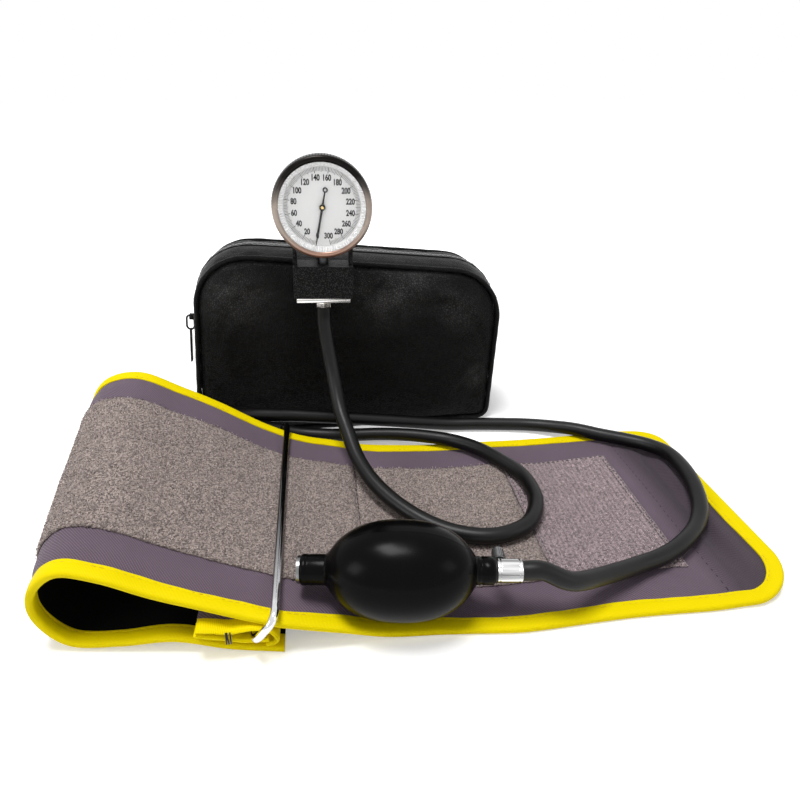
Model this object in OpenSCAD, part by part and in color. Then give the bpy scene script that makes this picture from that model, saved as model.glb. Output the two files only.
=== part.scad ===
// Aneroid blood-pressure kit: cuff closed into an arm loop, bulb, gauge, hoses and zip pouch.
// Millimetres, +Z up. The origin is on the floor, under the middle of the cuff's flat part.

/* [Cuff] */
// Width of the cuff, edge to edge
cuff_width = 145; // [130:1:160]
// Thickness of the cuff over its padded middle
cuff_thick = 3.6; // [3.6:0.1:4.6]
// Thickness of the two cloths at the bound edge
edge_thick = 1.6; // [1.4:0.1:1.8]
// Thickness of the edge binding
binding_thick = 0.7; // [0.5:0.05:0.8]
// Width of the binding on each face
binding_width = 6.5; // [5:0.5:9]
// Radius of the two corners at the free end
tip_radius = 24; // [12:1:36]
// Width of the pile and hook patches
patch_width = 94; // [70:1:104]
// Thickness of the pile patch
pile_thick = 1.6; // [0.8:0.1:2.4]
// Thickness of the hook patch
hook_thick = 1.2; // [0.8:0.1:2]
// Length of the hook patch
hook_length = 65; // [40:1:80]
// Distance from the free end to the hook patch
hook_from_tip = 43; // [36:1:50]
// Length of the pile patch, which runs back round the loop
pile_length = 272; // [220:1:276]
// Thickness of the empty bladder
bladder_thick = 1.2; // [0.8:0.1:1.4]
// Length of the bladder along the cuff
bladder_length = 250; // [200:5:260]

/* [Ring and hem] */
// Diameter of the ring's wire
wire_d = 3.5; // [2.5:0.1:4]
// Room between each end of the ring and the cuff's edge
ring_room = 1.4; // [1:0.1:4]
// Inner radius of the ring's corners
ring_corner = 3; // [2:0.5:6]
// Length of the hem flap that holds the ring
hem_length = 34; // [28:1:38]
// Thickness of the hem flap over the ring's bar
hem_thick = 1; // [0.8:0.1:1.1]

/* [Bulb and valves] */
// Diameter of the bulb
bulb_d = 42; // [38:1:50]
// Length of the bulb's round body
bulb_length = 64; // [56:1:74]
// Wall of the bulb
bulb_wall = 2.6; // [2:0.1:4]
// Diameter of the intake neck
intake_neck_d = 12.8; // [11.4:0.1:14]
// Diameter of the outlet neck
outlet_neck_d = 11.7; // [10.4:0.1:13]
// Length of the intake neck past the body
intake_neck_length = 10; // [9:0.5:14]
// Length of the outlet neck past the body
outlet_neck_length = 7; // [6:0.5:12]
// Diameter of the valve plug inside each neck
plug_d = 7.8; // [7:0.1:8.4]
// Diameter of the chrome sleeve
sleeve_d = 10; // [9.4:0.1:11]
// Length of the chrome sleeve
sleeve_length = 11.5; // [10:0.5:16]
// Diameter of the valve balls
valve_ball_d = 3; // [2.4:0.1:3.4]
// Travel of the valve balls
valve_travel = 1; // [0.5:0.1:1.5]
// Diameter of the bleed needle
needle_d = 1.6; // [1.2:0.1:2]
// Diameter of the bleed knob
knob_d = 5.6; // [5:0.1:8]
// Length of the bleed knob
knob_length = 6; // [4:0.5:8]

/* [Hoses] */
// Outer diameter of both hoses
hose_d = 8.3; // [7:0.1:8.6]
// Length of the barbs inside the hoses
barb_length = 9; // [7:0.5:12]
// Diameter of the barbs
barb_d = 5.2; // [4.4:0.1:5.6]

/* [Gauge] */
// Outer diameter of the bezel
bezel_d = 52.6; // [52:0.1:58]
// Outer diameter of the case behind the bezel
case_d = 50; // [49.4:0.1:50.2]
// Depth of the case behind the dial
case_depth = 17; // [16.6:0.1:20]
// Wall of the case
case_wall = 1.5; // [1.2:0.1:1.6]
// Width of the bezel's front face
bezel_face = 3.5; // [2.8:0.1:4]
// Height of the bezel in front of the dial
bezel_rise = 5; // [4.9:0.1:6]
// Thickness of the crystal
crystal_thick = 1.4; // [1:0.1:1.6]
// Thickness of the dial
dial_thick = 0.6; // [0.4:0.1:0.7]
// Length of the pointer from its axis to its tip
pointer_reach = 20.2; // [17:0.1:20.2]
// Width of the bracket under the gauge
bracket_width = 33.2; // [28:0.1:34]
// Height of the bracket's block
bracket_height = 18.4; // [15:0.1:20]
// Depth of the bracket from front to back
bracket_depth = 16; // [14:0.5:16]
// Thickness of the plate under the bracket
plate_thick = 2.4; // [1.6:0.1:3]
// Height of the nozzle's nut
nut_height = 4.4; // [3.6:0.1:6]
// Distance across the flats of the nozzle's nut
nut_flats = 8; // [7.2:0.1:9]
// Diameter of the pressure capsule
capsule_d = 22; // [18:0.5:22]
// Travel of the push pin over the full scale
pin_travel = 1.5; // [1:0.1:1.6]
// Width of the clip on the gauge's back
clip_width = 8; // [6:0.5:12]

/* [Pouch] */
// Height of the pouch over the piping at its high left part
pouch_height = 118.6; // [115:0.1:120]
// Fall of the pouch's top from there to its right corner
pouch_fall = 15.1; // [12:0.1:18]
// Depth of the pouch from front face to back face
pouch_depth = 45; // [40:1:55]
// Thickness of the front and back panels
panel_thick = 2; // [1.5:0.1:3]
// Diameter of the piping round each panel
piping_d = 3.2; // [2.4:0.1:3.6]
// Wall of the gusset
gusset_wall = 1.6; // [1.2:0.1:2.2]
// Distance of the gusset's face inside the piping
gusset_inset = 3; // [2.6:0.1:4]
// Height of the zip's ridge past the piping
ridge_rise = 1.2; // [0.6:0.1:1.6]
// Width of each zip tape
tape_width = 5.2; // [4.4:0.1:6]
// Pitch of the zip's teeth
tooth_pitch = 3.2; // [2.8:0.1:4]
// Height of the zip's teeth
tooth_height = 1; // [0.8:0.1:1.4]
// Length of the zip's pull
pull_length = 26; // [18:1:32]

/* [Hidden] */

twill = [0.43, 0.37, 0.45];
yellow = [0.96, 0.88, 0.05];
taupe = [0.58, 0.53, 0.51];
black = [0.06, 0.06, 0.065];
soft_black = [0.1, 0.1, 0.105];
silver = [0.82, 0.82, 0.84];
brass = [0.8, 0.65, 0.3];
white = [0.95, 0.95, 0.95];

// Clearances
fit = 0.05;
seat = 0.3;
turning = 0.03;

// ---------- Curves and lofts ----------

function unit(v) = v / norm(v);
function mix(a, b, t) = a + (b - a) * t;
function smooth(t) = let (c = clamp(t, 0, 1)) c * c * (3 - 2 * c);
function clamp(v, lo, hi) = min(max(v, lo), hi);
function total(v, i = 0) = i < len(v) ? v[i] + total(v, i + 1) : 0;

// A smooth curve through points: t = 2.5 lies half way from the third point to the fourth.
function ghost(p, i) = i < 0 ? 2 * p[0] - p[1] : i >= len(p) ? 2 * p[len(p) - 1] - p[len(p) - 2] : p[i];
function blend4(a, b, c, d, t) =
    0.5 * (2 * b + (c - a) * t + (2 * a - 5 * b + 4 * c - d) * t * t + (3 * b - a - 3 * c + d) * t * t * t);
function curve(p, t) =
    let (i = clamp(floor(t), 0, len(p) - 2))
    blend4(ghost(p, i - 1), p[i], p[i + 1], ghost(p, i + 2), t - i);

// Two triangles for each quad a-b-c-d
function quad(a, b, c, d) = [[a, b, c], [a, c, d]];

// A closed solid between two chains of points that are carried from section to section
module shell_loft(sections) {
    m = len(sections[0][0]);
    last = len(sections) - 1;
    points = [for (s = sections) for (chain = s) for (p = chain) p];
    faces = [
        for (k = [0:last - 1], i = [0:m - 2], f = quad(
            2 * m * k + i, 2 * m * k + i + 1, 2 * m * (k + 1) + i + 1, 2 * m * (k + 1) + i)) f,
        for (k = [0:last - 1], i = [0:m - 2], f = quad(
            2 * m * k + m + i + 1, 2 * m * k + m + i,
            2 * m * (k + 1) + m + i, 2 * m * (k + 1) + m + i + 1)) f,
        for (k = [0:last - 1], f = quad(
            2 * m * k + m, 2 * m * k, 2 * m * (k + 1), 2 * m * (k + 1) + m)) f,
        for (k = [0:last - 1], f = quad(
            2 * m * k + m - 1, 2 * m * k + 2 * m - 1,
            2 * m * (k + 1) + 2 * m - 1, 2 * m * (k + 1) + m - 1)) f,
        for (i = [0:m - 2], f = quad(i, m + i, m + i + 1, i + 1)) f,
        for (i = [0:m - 2], f = quad(
            2 * m * last + i, 2 * m * last + i + 1, 2 * m * last + m + i + 1, 2 * m * last + m + i)) f
    ];
    polyhedron(points, faces, convexity = 8);
}

// A round tube swept along a list of points, with its ends square to the path
module sweep(path, r, sides, closed = false) {
    n = len(path);
    tangents = [for (i = [0:n - 1]) closed
        ? unit(path[(i + 1) % n] - path[(i + n - 1) % n])
        : unit(path[min(i + 1, n - 1)] - path[max(i - 1, 0)])];
    first = unit(cross(tangents[0], [0.31, 0.86, 0.4]));
    sides_dir = [for (i = 0, v = first; i < n;
        i = i + 1, v = i < n ? unit(v - (v * tangents[i]) * tangents[i]) : v) v];
    points = [for (i = [0:n - 1], j = [0:sides - 1])
        let (a = 360 * j / sides)
        path[i] + r * (cos(a) * sides_dir[i] + sin(a) * cross(tangents[i], sides_dir[i]))];
    spans = closed ? n : n - 1;
    walls = [for (i = [0:spans - 1], j = [0:sides - 1], f = quad(
        i * sides + j, ((i + 1) % n) * sides + j,
        ((i + 1) % n) * sides + (j + 1) % sides, i * sides + (j + 1) % sides)) f];
    caps = closed ? [] : [
        [for (j = [0:sides - 1]) j],
        [for (j = [sides - 1:-1:0]) (n - 1) * sides + j]
    ];
    polyhedron(points, concat(walls, caps), convexity = 8);
}

// Points along a smooth route, a step apart
function route_points(route, step) =
    let (lengths = [for (i = [0:len(route) - 2]) norm(route[i + 1] - route[i])])
    concat(
        [for (i = [0:len(route) - 2], k = [0:max(1, round(lengths[i] / step)) - 1])
            curve(route, i + k / max(1, round(lengths[i] / step)))],
        [route[len(route) - 1]]);

// ---------- Cuff ----------

// Stations along the cuff from the hem to the free end: front edge x and rise, back edge x and rise
CUFF_STATIONS = [
    [-135, 0, -135, 0], [-157, 1.4, -159, 0], [-179, 5.4, -185, 0], [-202, 2.4, -211, 0.2],
    [-222, 2.5, -235, 1.4], [-232, 15, -248, 15], [-231, 29, -249, 35], [-219, 40, -238, 51],
    [-203, 37.5, -218, 55.5], [-184, 29.4, -196, 46], [-165, 23.2, -175, 35.5],
    [-147, 17.4, -151, 21.6], [-129, 12.2, -129, 12.4], [-110, 7, -110, 7.5], [-90, 1.8, -90, 2.6],
    [-65, 0.2, -65, 0.4], [-40, 0, -40, 0], [-15, 0, -15, 0], [10, 0, 10, 0], [35, 0, 35, 0],
    [60, 0.2, 60, 0.2], [80, 1.2, 80, 1.2], [96, 5.5, 96, 5.5]
];
cuff_middle_y = 2;
loop_from_x = -135;
loop_skew = 0.14;
flat_shift = -2.8;
shift_from_x = -80;
shift_over = 50;
last_station = len(CUFF_STATIONS) - 1;
station_steps = [for (i = [0:last_station - 1])
    let (a = CUFF_STATIONS[i], b = CUFF_STATIONS[i + 1])
    (norm([b[0] - a[0], b[1] - a[1]]) + norm([b[2] - a[2], b[3] - a[3]])) / 2];
station_places = [for (i = [0:last_station]) [total([for (k = [0:i - 1]) if (i > 0) station_steps[k]]), i]];
cuff_length = station_places[last_station][0];
front_y = cuff_middle_y - cuff_width / 2;
half_thick = cuff_thick / 2;
half_edge = edge_thick / 2;
half_bladder = bladder_thick / 2;
pad_slope = 6;

// A place on the cuff's middle surface: u along it from the hem, w across it from the front edge
function cuff_middle(u, w) =
    let (s = curve(CUFF_STATIONS, lookup(u, station_places)), t = w / cuff_width)
    let (x = mix(s[0], s[2], t), z = mix(s[1], s[3], t) + half_thick)
    let (shear = loop_skew * max(0, loop_from_x - x))
    let (shift = flat_shift * smooth((x - shift_from_x) / shift_over))
    [x, front_y + w + shear + shift, z];
function cuff_normal(u, w) = unit(cross(
    cuff_middle(u + 0.5, w) - cuff_middle(u - 0.5, w),
    cuff_middle(u, w + 0.5) - cuff_middle(u, w - 0.5)));
function cuff_at(u, w, n) = cuff_middle(u, w) + n * cuff_normal(u, w);

// Distance of a place from the cuff's outline, with the free end's round corners
function edge_distance(u, w) =
    let (a = cuff_length - u, b = min(w, cuff_width - w))
    a < tip_radius && b < tip_radius
        ? tip_radius - norm([tip_radius - a, tip_radius - b])
        : min(a, b);
function tip_inset(u) =
    let (c = u - (cuff_length - tip_radius))
    c <= 0 ? 0 : tip_radius - sqrt(max(0, tip_radius * tip_radius - c * c));
// The lines along the cuff that its cloths, patches and bladder share, and their share of the padded width
patch_front = (cuff_width - patch_width) / 2 - 2;
pad_edge = binding_width + pad_slope;
patch_lines = [for (i = [0:4]) patch_front + i * patch_width / 4];
pad_shares = [for (w = patch_lines) (w - pad_edge) / (cuff_width - 2 * pad_edge)];
function across(u) =
    let (lo = tip_inset(u), hi = cuff_width - tip_inset(u), margins = [0, binding_width, pad_edge])
    concat([for (m = margins) lo + m], [for (f = pad_shares) mix(lo + pad_edge, hi - pad_edge, f)],
        [for (m = [pad_edge, binding_width, 0]) hi - m]);
function swell(u, w, thin, full) =
    lookup(edge_distance(u, w), [[0, thin], [binding_width, thin], [pad_edge, full]]);
flat_from = 16;
function place_of(i) = curve([for (p = station_places) p[0]], i);
cuff_steps = concat(
    [for (i = [0:0.25:flat_from - 0.25]) place_of(i)],
    [for (i = [flat_from:1:last_station - 2]) place_of(i)],
    [for (a = [10:10:90]) cuff_length - tip_radius + tip_radius * sin(a)]);
step_places = [for (i = [0:len(cuff_steps) - 1]) [cuff_steps[i], i]];
// A place on the flat facets that the cloths have between their stations
function cuff_facet(u, w, n) =
    let (f = lookup(u, step_places), i = min(floor(f), len(cuff_steps) - 2))
    mix(cuff_at(cuff_steps[i], w, n), cuff_at(cuff_steps[i + 1], w, n), f - i);

// One cloth of the cuff: side is 1 for the outer cloth and -1 for the lining
module cuff_cloth(side) {
    shell_loft([for (u = cuff_steps)
        let (ws = across(u))
        let (inner = [for (w = ws) cuff_at(u, w, side * swell(u, w, seat / 2, half_bladder + seat))])
        let (outer = [for (w = ws) cuff_at(u, w, side * swell(u, w, half_edge, half_thick))])
        side > 0 ? [outer, inner] : [inner, outer]]);
}
module cuff_outer_cloth() {
    color(twill)
        cuff_cloth(1);
}
module cuff_lining() {
    color(black)
        cuff_cloth(-1);
}

// The binding's path: place on the outline and the way inwards
binding_out = binding_thick + seat / 2;
outline_steps = [for (v = cuff_steps) if (v < cuff_length - tip_radius - 2) v];
binding_path = concat(
    [for (u = outline_steps) [[u, 0], [0, 1]]],
    [for (a = [0:15:90]) [
        [cuff_length - tip_radius + tip_radius * sin(a), tip_radius - tip_radius * cos(a)],
        [-sin(a), cos(a)]]],
    [for (a = [90:-15:0]) [
        [cuff_length - tip_radius + tip_radius * sin(a), cuff_width - tip_radius + tip_radius * cos(a)],
        [-sin(a), -cos(a)]]],
    [for (i = [len(outline_steps) - 1:-1:0]) [[outline_steps[i], cuff_width], [0, -1]]]
);
function binding_point(place, inward, d, n) =
    let (e = max(0, d), base = cuff_at(place[0] + e * inward[0], place[1] + e * inward[1], n))
    d >= 0 ? base : base + d * unit(
        cuff_middle(place[0] + inward[0], place[1] + inward[1]) - cuff_middle(place[0], place[1]));
module cuff_binding() {
    inner_n = half_edge + seat / 2;
    outer_n = inner_n + binding_thick;
    color(yellow)
        shell_loft([for (b = binding_path) [
            [for (q = [[binding_width, -outer_n], [0, -outer_n], [-binding_out, 0],
                [0, outer_n], [binding_width, outer_n]])
                binding_point(b[0], b[1], q[0], q[1])],
            [for (q = [[binding_width, -inner_n], [0, -inner_n], [-seat / 2, 0],
                [0, inner_n], [binding_width, inner_n]])
                binding_point(b[0], b[1], q[0], q[1])]
        ]]);
}

// A flat strip on the cuff between two places along it, from height n0 to n1
module cuff_strip(u0, u1, n0, n1) {
    steps = concat([u0], [for (u = cuff_steps) if (u > u0 + 0.5 && u < u1 - 0.5) u], [u1]);
    shell_loft([for (u = steps) [
        [for (w = patch_lines) cuff_facet(u, w, n1)],
        [for (w = patch_lines) cuff_facet(u, w, n0)]]]);
}
hook_end = cuff_length - hook_from_tip;
hook_start = hook_end - hook_length;
pile_start = hook_start - seat - pile_length;
module pile_patch() {
    color(taupe)
        cuff_strip(pile_start, hook_start - seat,
            half_thick + seat / 2, half_thick + seat / 2 + pile_thick);
}
module hook_patch() {
    color([0.64, 0.59, 0.6])
        cuff_strip(hook_start, hook_end, half_thick + seat / 2, half_thick + seat / 2 + hook_thick);
}
bladder_start = 40;
module bladder() {
    color(soft_black)
        cuff_strip(bladder_start, bladder_start + bladder_length, -half_bladder, half_bladder);
}

// Bladder ports: a flange under the lining, a short neck and a barrel that points at its hose
port_flange_d = 13;
port_flange_thick = 1.6;
port_drop = 9;
port_edge = 20;
port_length = 16;
gauge_port_u = 205;
bulb_port_u = 187;
gauge_port_way = unit([12, 13, -4]);
bulb_port_way = unit([14, 12, -4]);
function port_root(u) = cuff_at(u, cuff_width - port_edge, -half_thick - port_drop);
function port_end(u, way) = port_root(u) + port_length * way;
module along(from, way) {
    translate(from)
        rotate([0, acos(unit(way)[2]), atan2(way[1], way[0])])
            children();
}
module bladder_port(u, way) {
    root = port_root(u);
    face = cuff_at(u, cuff_width - port_edge, -half_thick - seat);
    along(face, root - face) cylinder(h = port_flange_thick, d = port_flange_d, $fn = 32);
    along(face, root - face) cylinder(h = norm(root - face), d = hose_d, $fn = 32);
    translate(root) sphere(d = hose_d + 0.6, $fn = 32);
    along(root, way) cylinder(h = port_length, d = hose_d, $fn = 32);
}
module bladder_ports() {
    color(soft_black) {
        bladder_port(gauge_port_u, gauge_port_way);
        bladder_port(bulb_port_u, bulb_port_way);
    }
}

// ---------- Ring and hem ----------

ring_pivot = [-146, 11.8];
ring_top = [-137, 23];
hem_end_x = -135;
ring_front_y = front_y - ring_room - binding_out - wire_d / 2;
ring_back_y = front_y + cuff_width + ring_room + binding_out + wire_d / 2;
ring_span = norm(ring_top - ring_pivot);
ring_tilt = atan2(ring_top[1] - ring_pivot[1], ring_top[0] - ring_pivot[0]);
ring_bend = ring_corner + wire_d / 2;

// The wire ring, drawn flat with its held bar on the Y axis
module flat_ring() {
    reach = ring_back_y - ring_front_y;
    for (x = [0, ring_span])
        translate([x, ring_bend, 0])
            rotate([-90, 0, 0])
                cylinder(h = reach - 2 * ring_bend, d = wire_d, $fn = 32);
    for (y = [0, reach])
        translate([ring_bend, y, 0])
            rotate([0, 90, 0])
                cylinder(h = ring_span - 2 * ring_bend, d = wire_d, $fn = 32);
    for (c = [[ring_bend, ring_bend, 180], [ring_span - ring_bend, ring_bend, 270],
        [ring_span - ring_bend, reach - ring_bend, 0], [ring_bend, reach - ring_bend, 90]])
        translate([c[0], c[1], 0])
            rotate([0, 0, c[2]])
                rotate_extrude(angle = 90, $fn = 32)
                    translate([ring_bend, 0])
                        circle(d = wire_d, $fn = 32);
}
module cuff_ring() {
    color(silver)
        translate([ring_pivot[0], ring_front_y, ring_pivot[1]])
            rotate([0, -ring_tilt, 0])
                flat_ring();
}
hem_end_room = 1.2;
module ring_hem() {
    base = cuff_thick + seat;
    across_length = cuff_width - 2 * hem_end_room;
    bore_r = wire_d / 2 + turning;
    top = ring_pivot[1] + bore_r + hem_thick;
    low = ring_pivot[1] - bore_r - hem_thick;
    x = ring_pivot[0];
    far = hem_end_x - hem_length;
    color(yellow)
        difference() {
            translate([0, front_y + cuff_width - hem_end_room, 0])
                rotate([90, 0, 0])
                    linear_extrude(across_length)
                        polygon([[hem_end_x - 3, base], [hem_end_x, base], [hem_end_x, low - 0.6],
                            [hem_end_x - 2, low + 0.8], [x + 3.2, ring_pivot[1] + 1.6], [x + 1.6, top],
                            [x - 1.6, top], [x - 5, top - 0.4], [far, top + 3], [far, top + 3 - hem_thick],
                            [x - 5, top - 0.4 - hem_thick], [x - 3, ring_pivot[1] - 1.6], [x - 1.6, low],
                            [x + 1.6, low], [hem_end_x - 5, low - 0.8]]);
            translate([x, front_y + cuff_width + 1, ring_pivot[1]])
                rotate([90, 0, 0])
                    cylinder(h = cuff_width + 2, r = bore_r, $fn = 64);
        }
}

// ---------- Bulb and valves ----------

bulb_lift = 2.4;
bulb_from_edge = 12.5;
bulb_place = [-85, front_y + bulb_from_edge, cuff_thick + bulb_lift + bulb_d / 2];
bulb_turn = -8;
body_half = bulb_length / 2;
intake_end = -body_half - intake_neck_length;
outlet_end = body_half + outlet_neck_length;
sleeve_end = outlet_end + sleeve_length;
plug_length = 11;
inner_plug_d = plug_d + 2 * fit;

// The bulb's frame: its axis along X from the intake to the outlet
module place_bulb() {
    translate(bulb_place)
        rotate([0, 0, bulb_turn])
            children();
}
function bulb_point(x) = bulb_place + [cos(bulb_turn) * x, sin(bulb_turn) * x, 0];

// Turned pieces are drawn as [place along the axis, radius] and spun about it
module turned(profile) {
    rotate([0, 90, 0])
        rotate_extrude($fn = 64)
            polygon([for (p = profile) [p[1], p[0]]]);
}
function bulb_radius(x, r, neck) =
    let (t = min(1, abs(x) / body_half))
    max(neck, r * pow(max(0, 1 - pow(t, 2.3)), 0.52));
bulb_stops = [for (a = [-85:10:85]) body_half * sin(a)];
module bulb() {
    bore = inner_plug_d / 2;
    r = bulb_d / 2;
    outside = [for (x = bulb_stops) [x, bulb_radius(x, r, (x < 0 ? intake_neck_d : outlet_neck_d) / 2)]];
    inside = [for (i = [len(bulb_stops) - 1:-1:0])
        let (x = bulb_stops[i] * (1 - bulb_wall / body_half))
        [x, max(bore, bulb_radius(x / (1 - bulb_wall / body_half), r, bore) - bulb_wall)]];
    color(black)
        place_bulb()
            turned(concat(
                [[intake_end, bore], [intake_end, intake_neck_d / 2 - 0.6],
                    [intake_end + 0.6, intake_neck_d / 2],
                    [-body_half - 1.5, intake_neck_d / 2]],
                outside,
                [[body_half + 1.5, outlet_neck_d / 2], [outlet_end - 0.6, outlet_neck_d / 2],
                    [outlet_end, outlet_neck_d / 2 - 0.6], [outlet_end, bore]],
                inside));
}

ball_r = valve_ball_d / 2;
chamber_r = ball_r + 0.25;
valve_hole_r = ball_r * 0.6;
screen_seat = 1.2;
rim_thick = 1.4;
seat_drop = sqrt(ball_r * ball_r - valve_hole_r * valve_hole_r);
intake_seat_x = intake_end + 3;
module intake_valve() {
    color(silver)
        place_bulb()
            turned([
                [intake_end - rim_thick, screen_r + fit], [intake_end - rim_thick, intake_neck_d / 2 - 0.6],
                [intake_end - fit, intake_neck_d / 2 - 0.6], [intake_end - fit, plug_d / 2],
                [intake_end + plug_length, plug_d / 2], [intake_end + plug_length, valve_hole_r],
                [intake_ball_x + ball_r + valve_travel + 0.6, valve_hole_r],
                [intake_ball_x + ball_r + valve_travel + 0.6, chamber_r],
                [intake_seat_x, chamber_r], [intake_seat_x, valve_hole_r],
                [intake_end - rim_thick + screen_seat, valve_hole_r],
                [intake_end - rim_thick + screen_seat, screen_r + fit]]);
}
screen_r = plug_d / 2 - 0.9;
screen_thick = 0.8;
module intake_screen() {
    color([0.3, 0.3, 0.32])
        place_bulb()
            translate([intake_end - rim_thick + screen_seat - screen_thick - fit, 0, 0])
                rotate([0, 90, 0])
                    difference() {
                        cylinder(h = screen_thick, r = screen_r, $fn = 48);
                        for (a = [0:60:300])
                            rotate([0, 0, a])
                                translate([screen_r * 0.55, 0, -1])
                                    cylinder(h = screen_thick + 2, r = 0.45, $fn = 16);
                        translate([0, 0, -1])
                            cylinder(h = screen_thick + 2, r = 0.45, $fn = 16);
                    }
}
intake_ball_x = intake_seat_x + seat_drop + 0.1;
module intake_ball() {
    color(silver)
        place_bulb()
            translate([intake_ball_x, 0, 0])
                sphere(r = ball_r, $fn = 32);
}
outlet_seat_x = outlet_end - 7;
outlet_ball_x = outlet_seat_x + seat_drop + 0.1;
washer_thick = 0.8;
needle_x = outlet_end + washer_thick + 2;
passage_r = 1.1;
needle_hole_d = needle_d + 2 * fit;
module outlet_valve() {
    chamber_end = outlet_ball_x + ball_r + valve_travel + 0.3;
    color(silver)
        place_bulb()
            difference() {
                turned([
                    [outlet_end - plug_length, valve_hole_r], [outlet_end - plug_length, plug_d / 2],
                    [outlet_end + washer_thick + 2 * fit, plug_d / 2],
                    [outlet_end + washer_thick + 2 * fit, sleeve_d / 2 - 0.3],
                    [outlet_end + washer_thick + 2 * fit + 0.3, sleeve_d / 2],
                    [sleeve_end - 0.3, sleeve_d / 2], [sleeve_end, sleeve_d / 2 - 0.3],
                    [sleeve_end, barb_root_r + fit], [sleeve_end - barb_socket, barb_root_r + fit],
                    [sleeve_end - barb_socket, passage_r], [chamber_end, passage_r],
                    [chamber_end, chamber_r], [outlet_seat_x, chamber_r], [outlet_seat_x, valve_hole_r]]);
                translate([needle_x, 0, 0])
                    rotate([-90, 0, 0])
                        cylinder(h = sleeve_d, d = needle_hole_d, $fn = 24);
            }
}
module outlet_ball() {
    color(silver)
        place_bulb()
            translate([outlet_ball_x, 0, 0])
                sphere(r = ball_r, $fn = 32);
}
module neck_washer() {
    color(soft_black)
        place_bulb()
            turned([[outlet_end + fit, plug_d / 2 + fit], [outlet_end + fit, outlet_neck_d / 2 - 0.8],
                [outlet_end + fit + washer_thick, outlet_neck_d / 2 - 0.8],
                [outlet_end + fit + washer_thick, plug_d / 2 + fit]]);
}
barb_root_r = barb_d / 2 - 0.5;
barb_socket = 3;
module hose_barb() {
    teeth = 3;
    step = barb_length / teeth;
    color(silver)
        place_bulb()
            turned(concat(
                [[sleeve_end - barb_socket + fit, 1], [sleeve_end - barb_socket + fit, barb_root_r]],
                [for (i = [0:teeth - 1], p = [[sleeve_end + i * step + 0.4, barb_root_r],
                    [sleeve_end + i * step + 0.5, barb_d / 2],
                    [sleeve_end + (i + 1) * step, barb_root_r]]) p],
                [[sleeve_end + barb_length, 1]]));
}

// Bleed screw: the needle's tip closes the hole in the sleeve's wall, and the knob turns it
knob_gap = 0.8;
needle_tip = 1.3;
knob_from = sleeve_d / 2 + knob_gap;
module place_needle() {
    place_bulb()
        translate([needle_x, 0, 0])
            rotate([-90, 0, 0])
                children();
}
module bleed_needle() {
    color(silver)
        place_needle()
            rotate_extrude($fn = 32)
                polygon([[0, needle_tip], [needle_d / 2, needle_tip + 1],
                    [needle_d / 2, knob_from + knob_length - 1], [0, knob_from + knob_length - 1]]);
}
module bleed_knob() {
    ridges = 18;
    color(silver)
        place_needle()
            difference() {
                translate([0, 0, knob_from])
                    union() {
                        cylinder(h = knob_length, d = knob_d - 0.5, $fn = 48);
                        for (i = [0:ridges - 1])
                            rotate([0, 0, 360 * i / ridges])
                                translate([knob_d / 2 - 0.45, -0.22, 0.6])
                                    cube([0.45, 0.44, knob_length - 1.2]);
                    }
                translate([0, 0, knob_from - 1])
                    cylinder(h = knob_length + fit, d = needle_d + 2 * turning, $fn = 32);
            }
}

// ---------- Gauge ----------

gauge_place = [-108, 85, pouch_height + 30];
gauge_lean = 2.5;
case_r = case_d / 2;
bezel_r = bezel_d / 2;
back_z = -case_depth;
floor_z = back_z + case_wall;
rim_z = -dial_thick - fit;
dial_r = case_r - 0.8;
dial_full_turn = 337.5;
zero_angle = 259.5;

// The gauge's frame: X to the right, Y up and Z out of the dial towards the reader
module place_gauge() {
    translate(gauge_place)
        rotate([0, gauge_lean, 0])
            rotate([90, 0, 0])
                children();
}
function gauge_point(p) = gauge_place + [
    cos(gauge_lean) * p[0] + sin(gauge_lean) * p[1], -p[2],
    cos(gauge_lean) * p[1] - sin(gauge_lean) * p[0]];
module lathe(profile, detail = 96) {
    rotate_extrude($fn = detail)
        polygon(profile);
}

stem_z = -8.5;
stem_r = 3;
module gauge_case() {
    color([0.12, 0.12, 0.13])
        place_gauge()
            difference() {
                lathe([[0, back_z], [case_r - 1, back_z], [case_r, back_z + 1], [case_r, rim_z],
                    [case_r - case_wall, rim_z], [case_r - case_wall, floor_z], [0, floor_z]]);
                translate([0, 0, stem_z])
                    rotate([90, 0, 0])
                        cylinder(h = case_r + 5, r = stem_r + fit, $fn = 32);
                for (y = rivet_rows)
                    translate([0, y, back_z - 1])
                        cylinder(h = case_wall + 2, r = rivet_r + fit, $fn = 24);
            }
}
bezel_in = bezel_r - bezel_face;
bezel_skirt = 4.5;
crystal_top = bezel_rise - 1;
crystal_low = crystal_top - crystal_thick;
module bezel() {
    color(silver)
        place_gauge()
            lathe([[case_r + fit, -bezel_skirt], [bezel_r - 0.5, -bezel_skirt],
                [bezel_r, -bezel_skirt + 0.5],
                [bezel_r, bezel_rise - 1.4], [bezel_r - 0.9, bezel_rise - 0.3], [bezel_r - 1.9, bezel_rise],
                [bezel_in + 0.4, bezel_rise - 0.2], [bezel_in, bezel_rise - 0.6],
                [bezel_in, crystal_top + fit], [dial_r + 2 * fit, crystal_top + fit],
                [dial_r + 2 * fit, rim_z + fit], [case_r + fit, rim_z + fit]]);
}
module crystal() {
    color([0.8, 0.9, 0.95, 0.3])
        place_gauge()
            translate([0, 0, crystal_low])
                cylinder(h = crystal_thick, r = dial_r, $fn = 96);
}
ring_low_r = 20.3;
module crystal_ring() {
    color(white)
        place_gauge()
            lathe([[ring_low_r, fit], [dial_r, fit], [dial_r, crystal_low - fit],
                [bezel_in + 0.2, crystal_low - fit]]);
}
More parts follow.
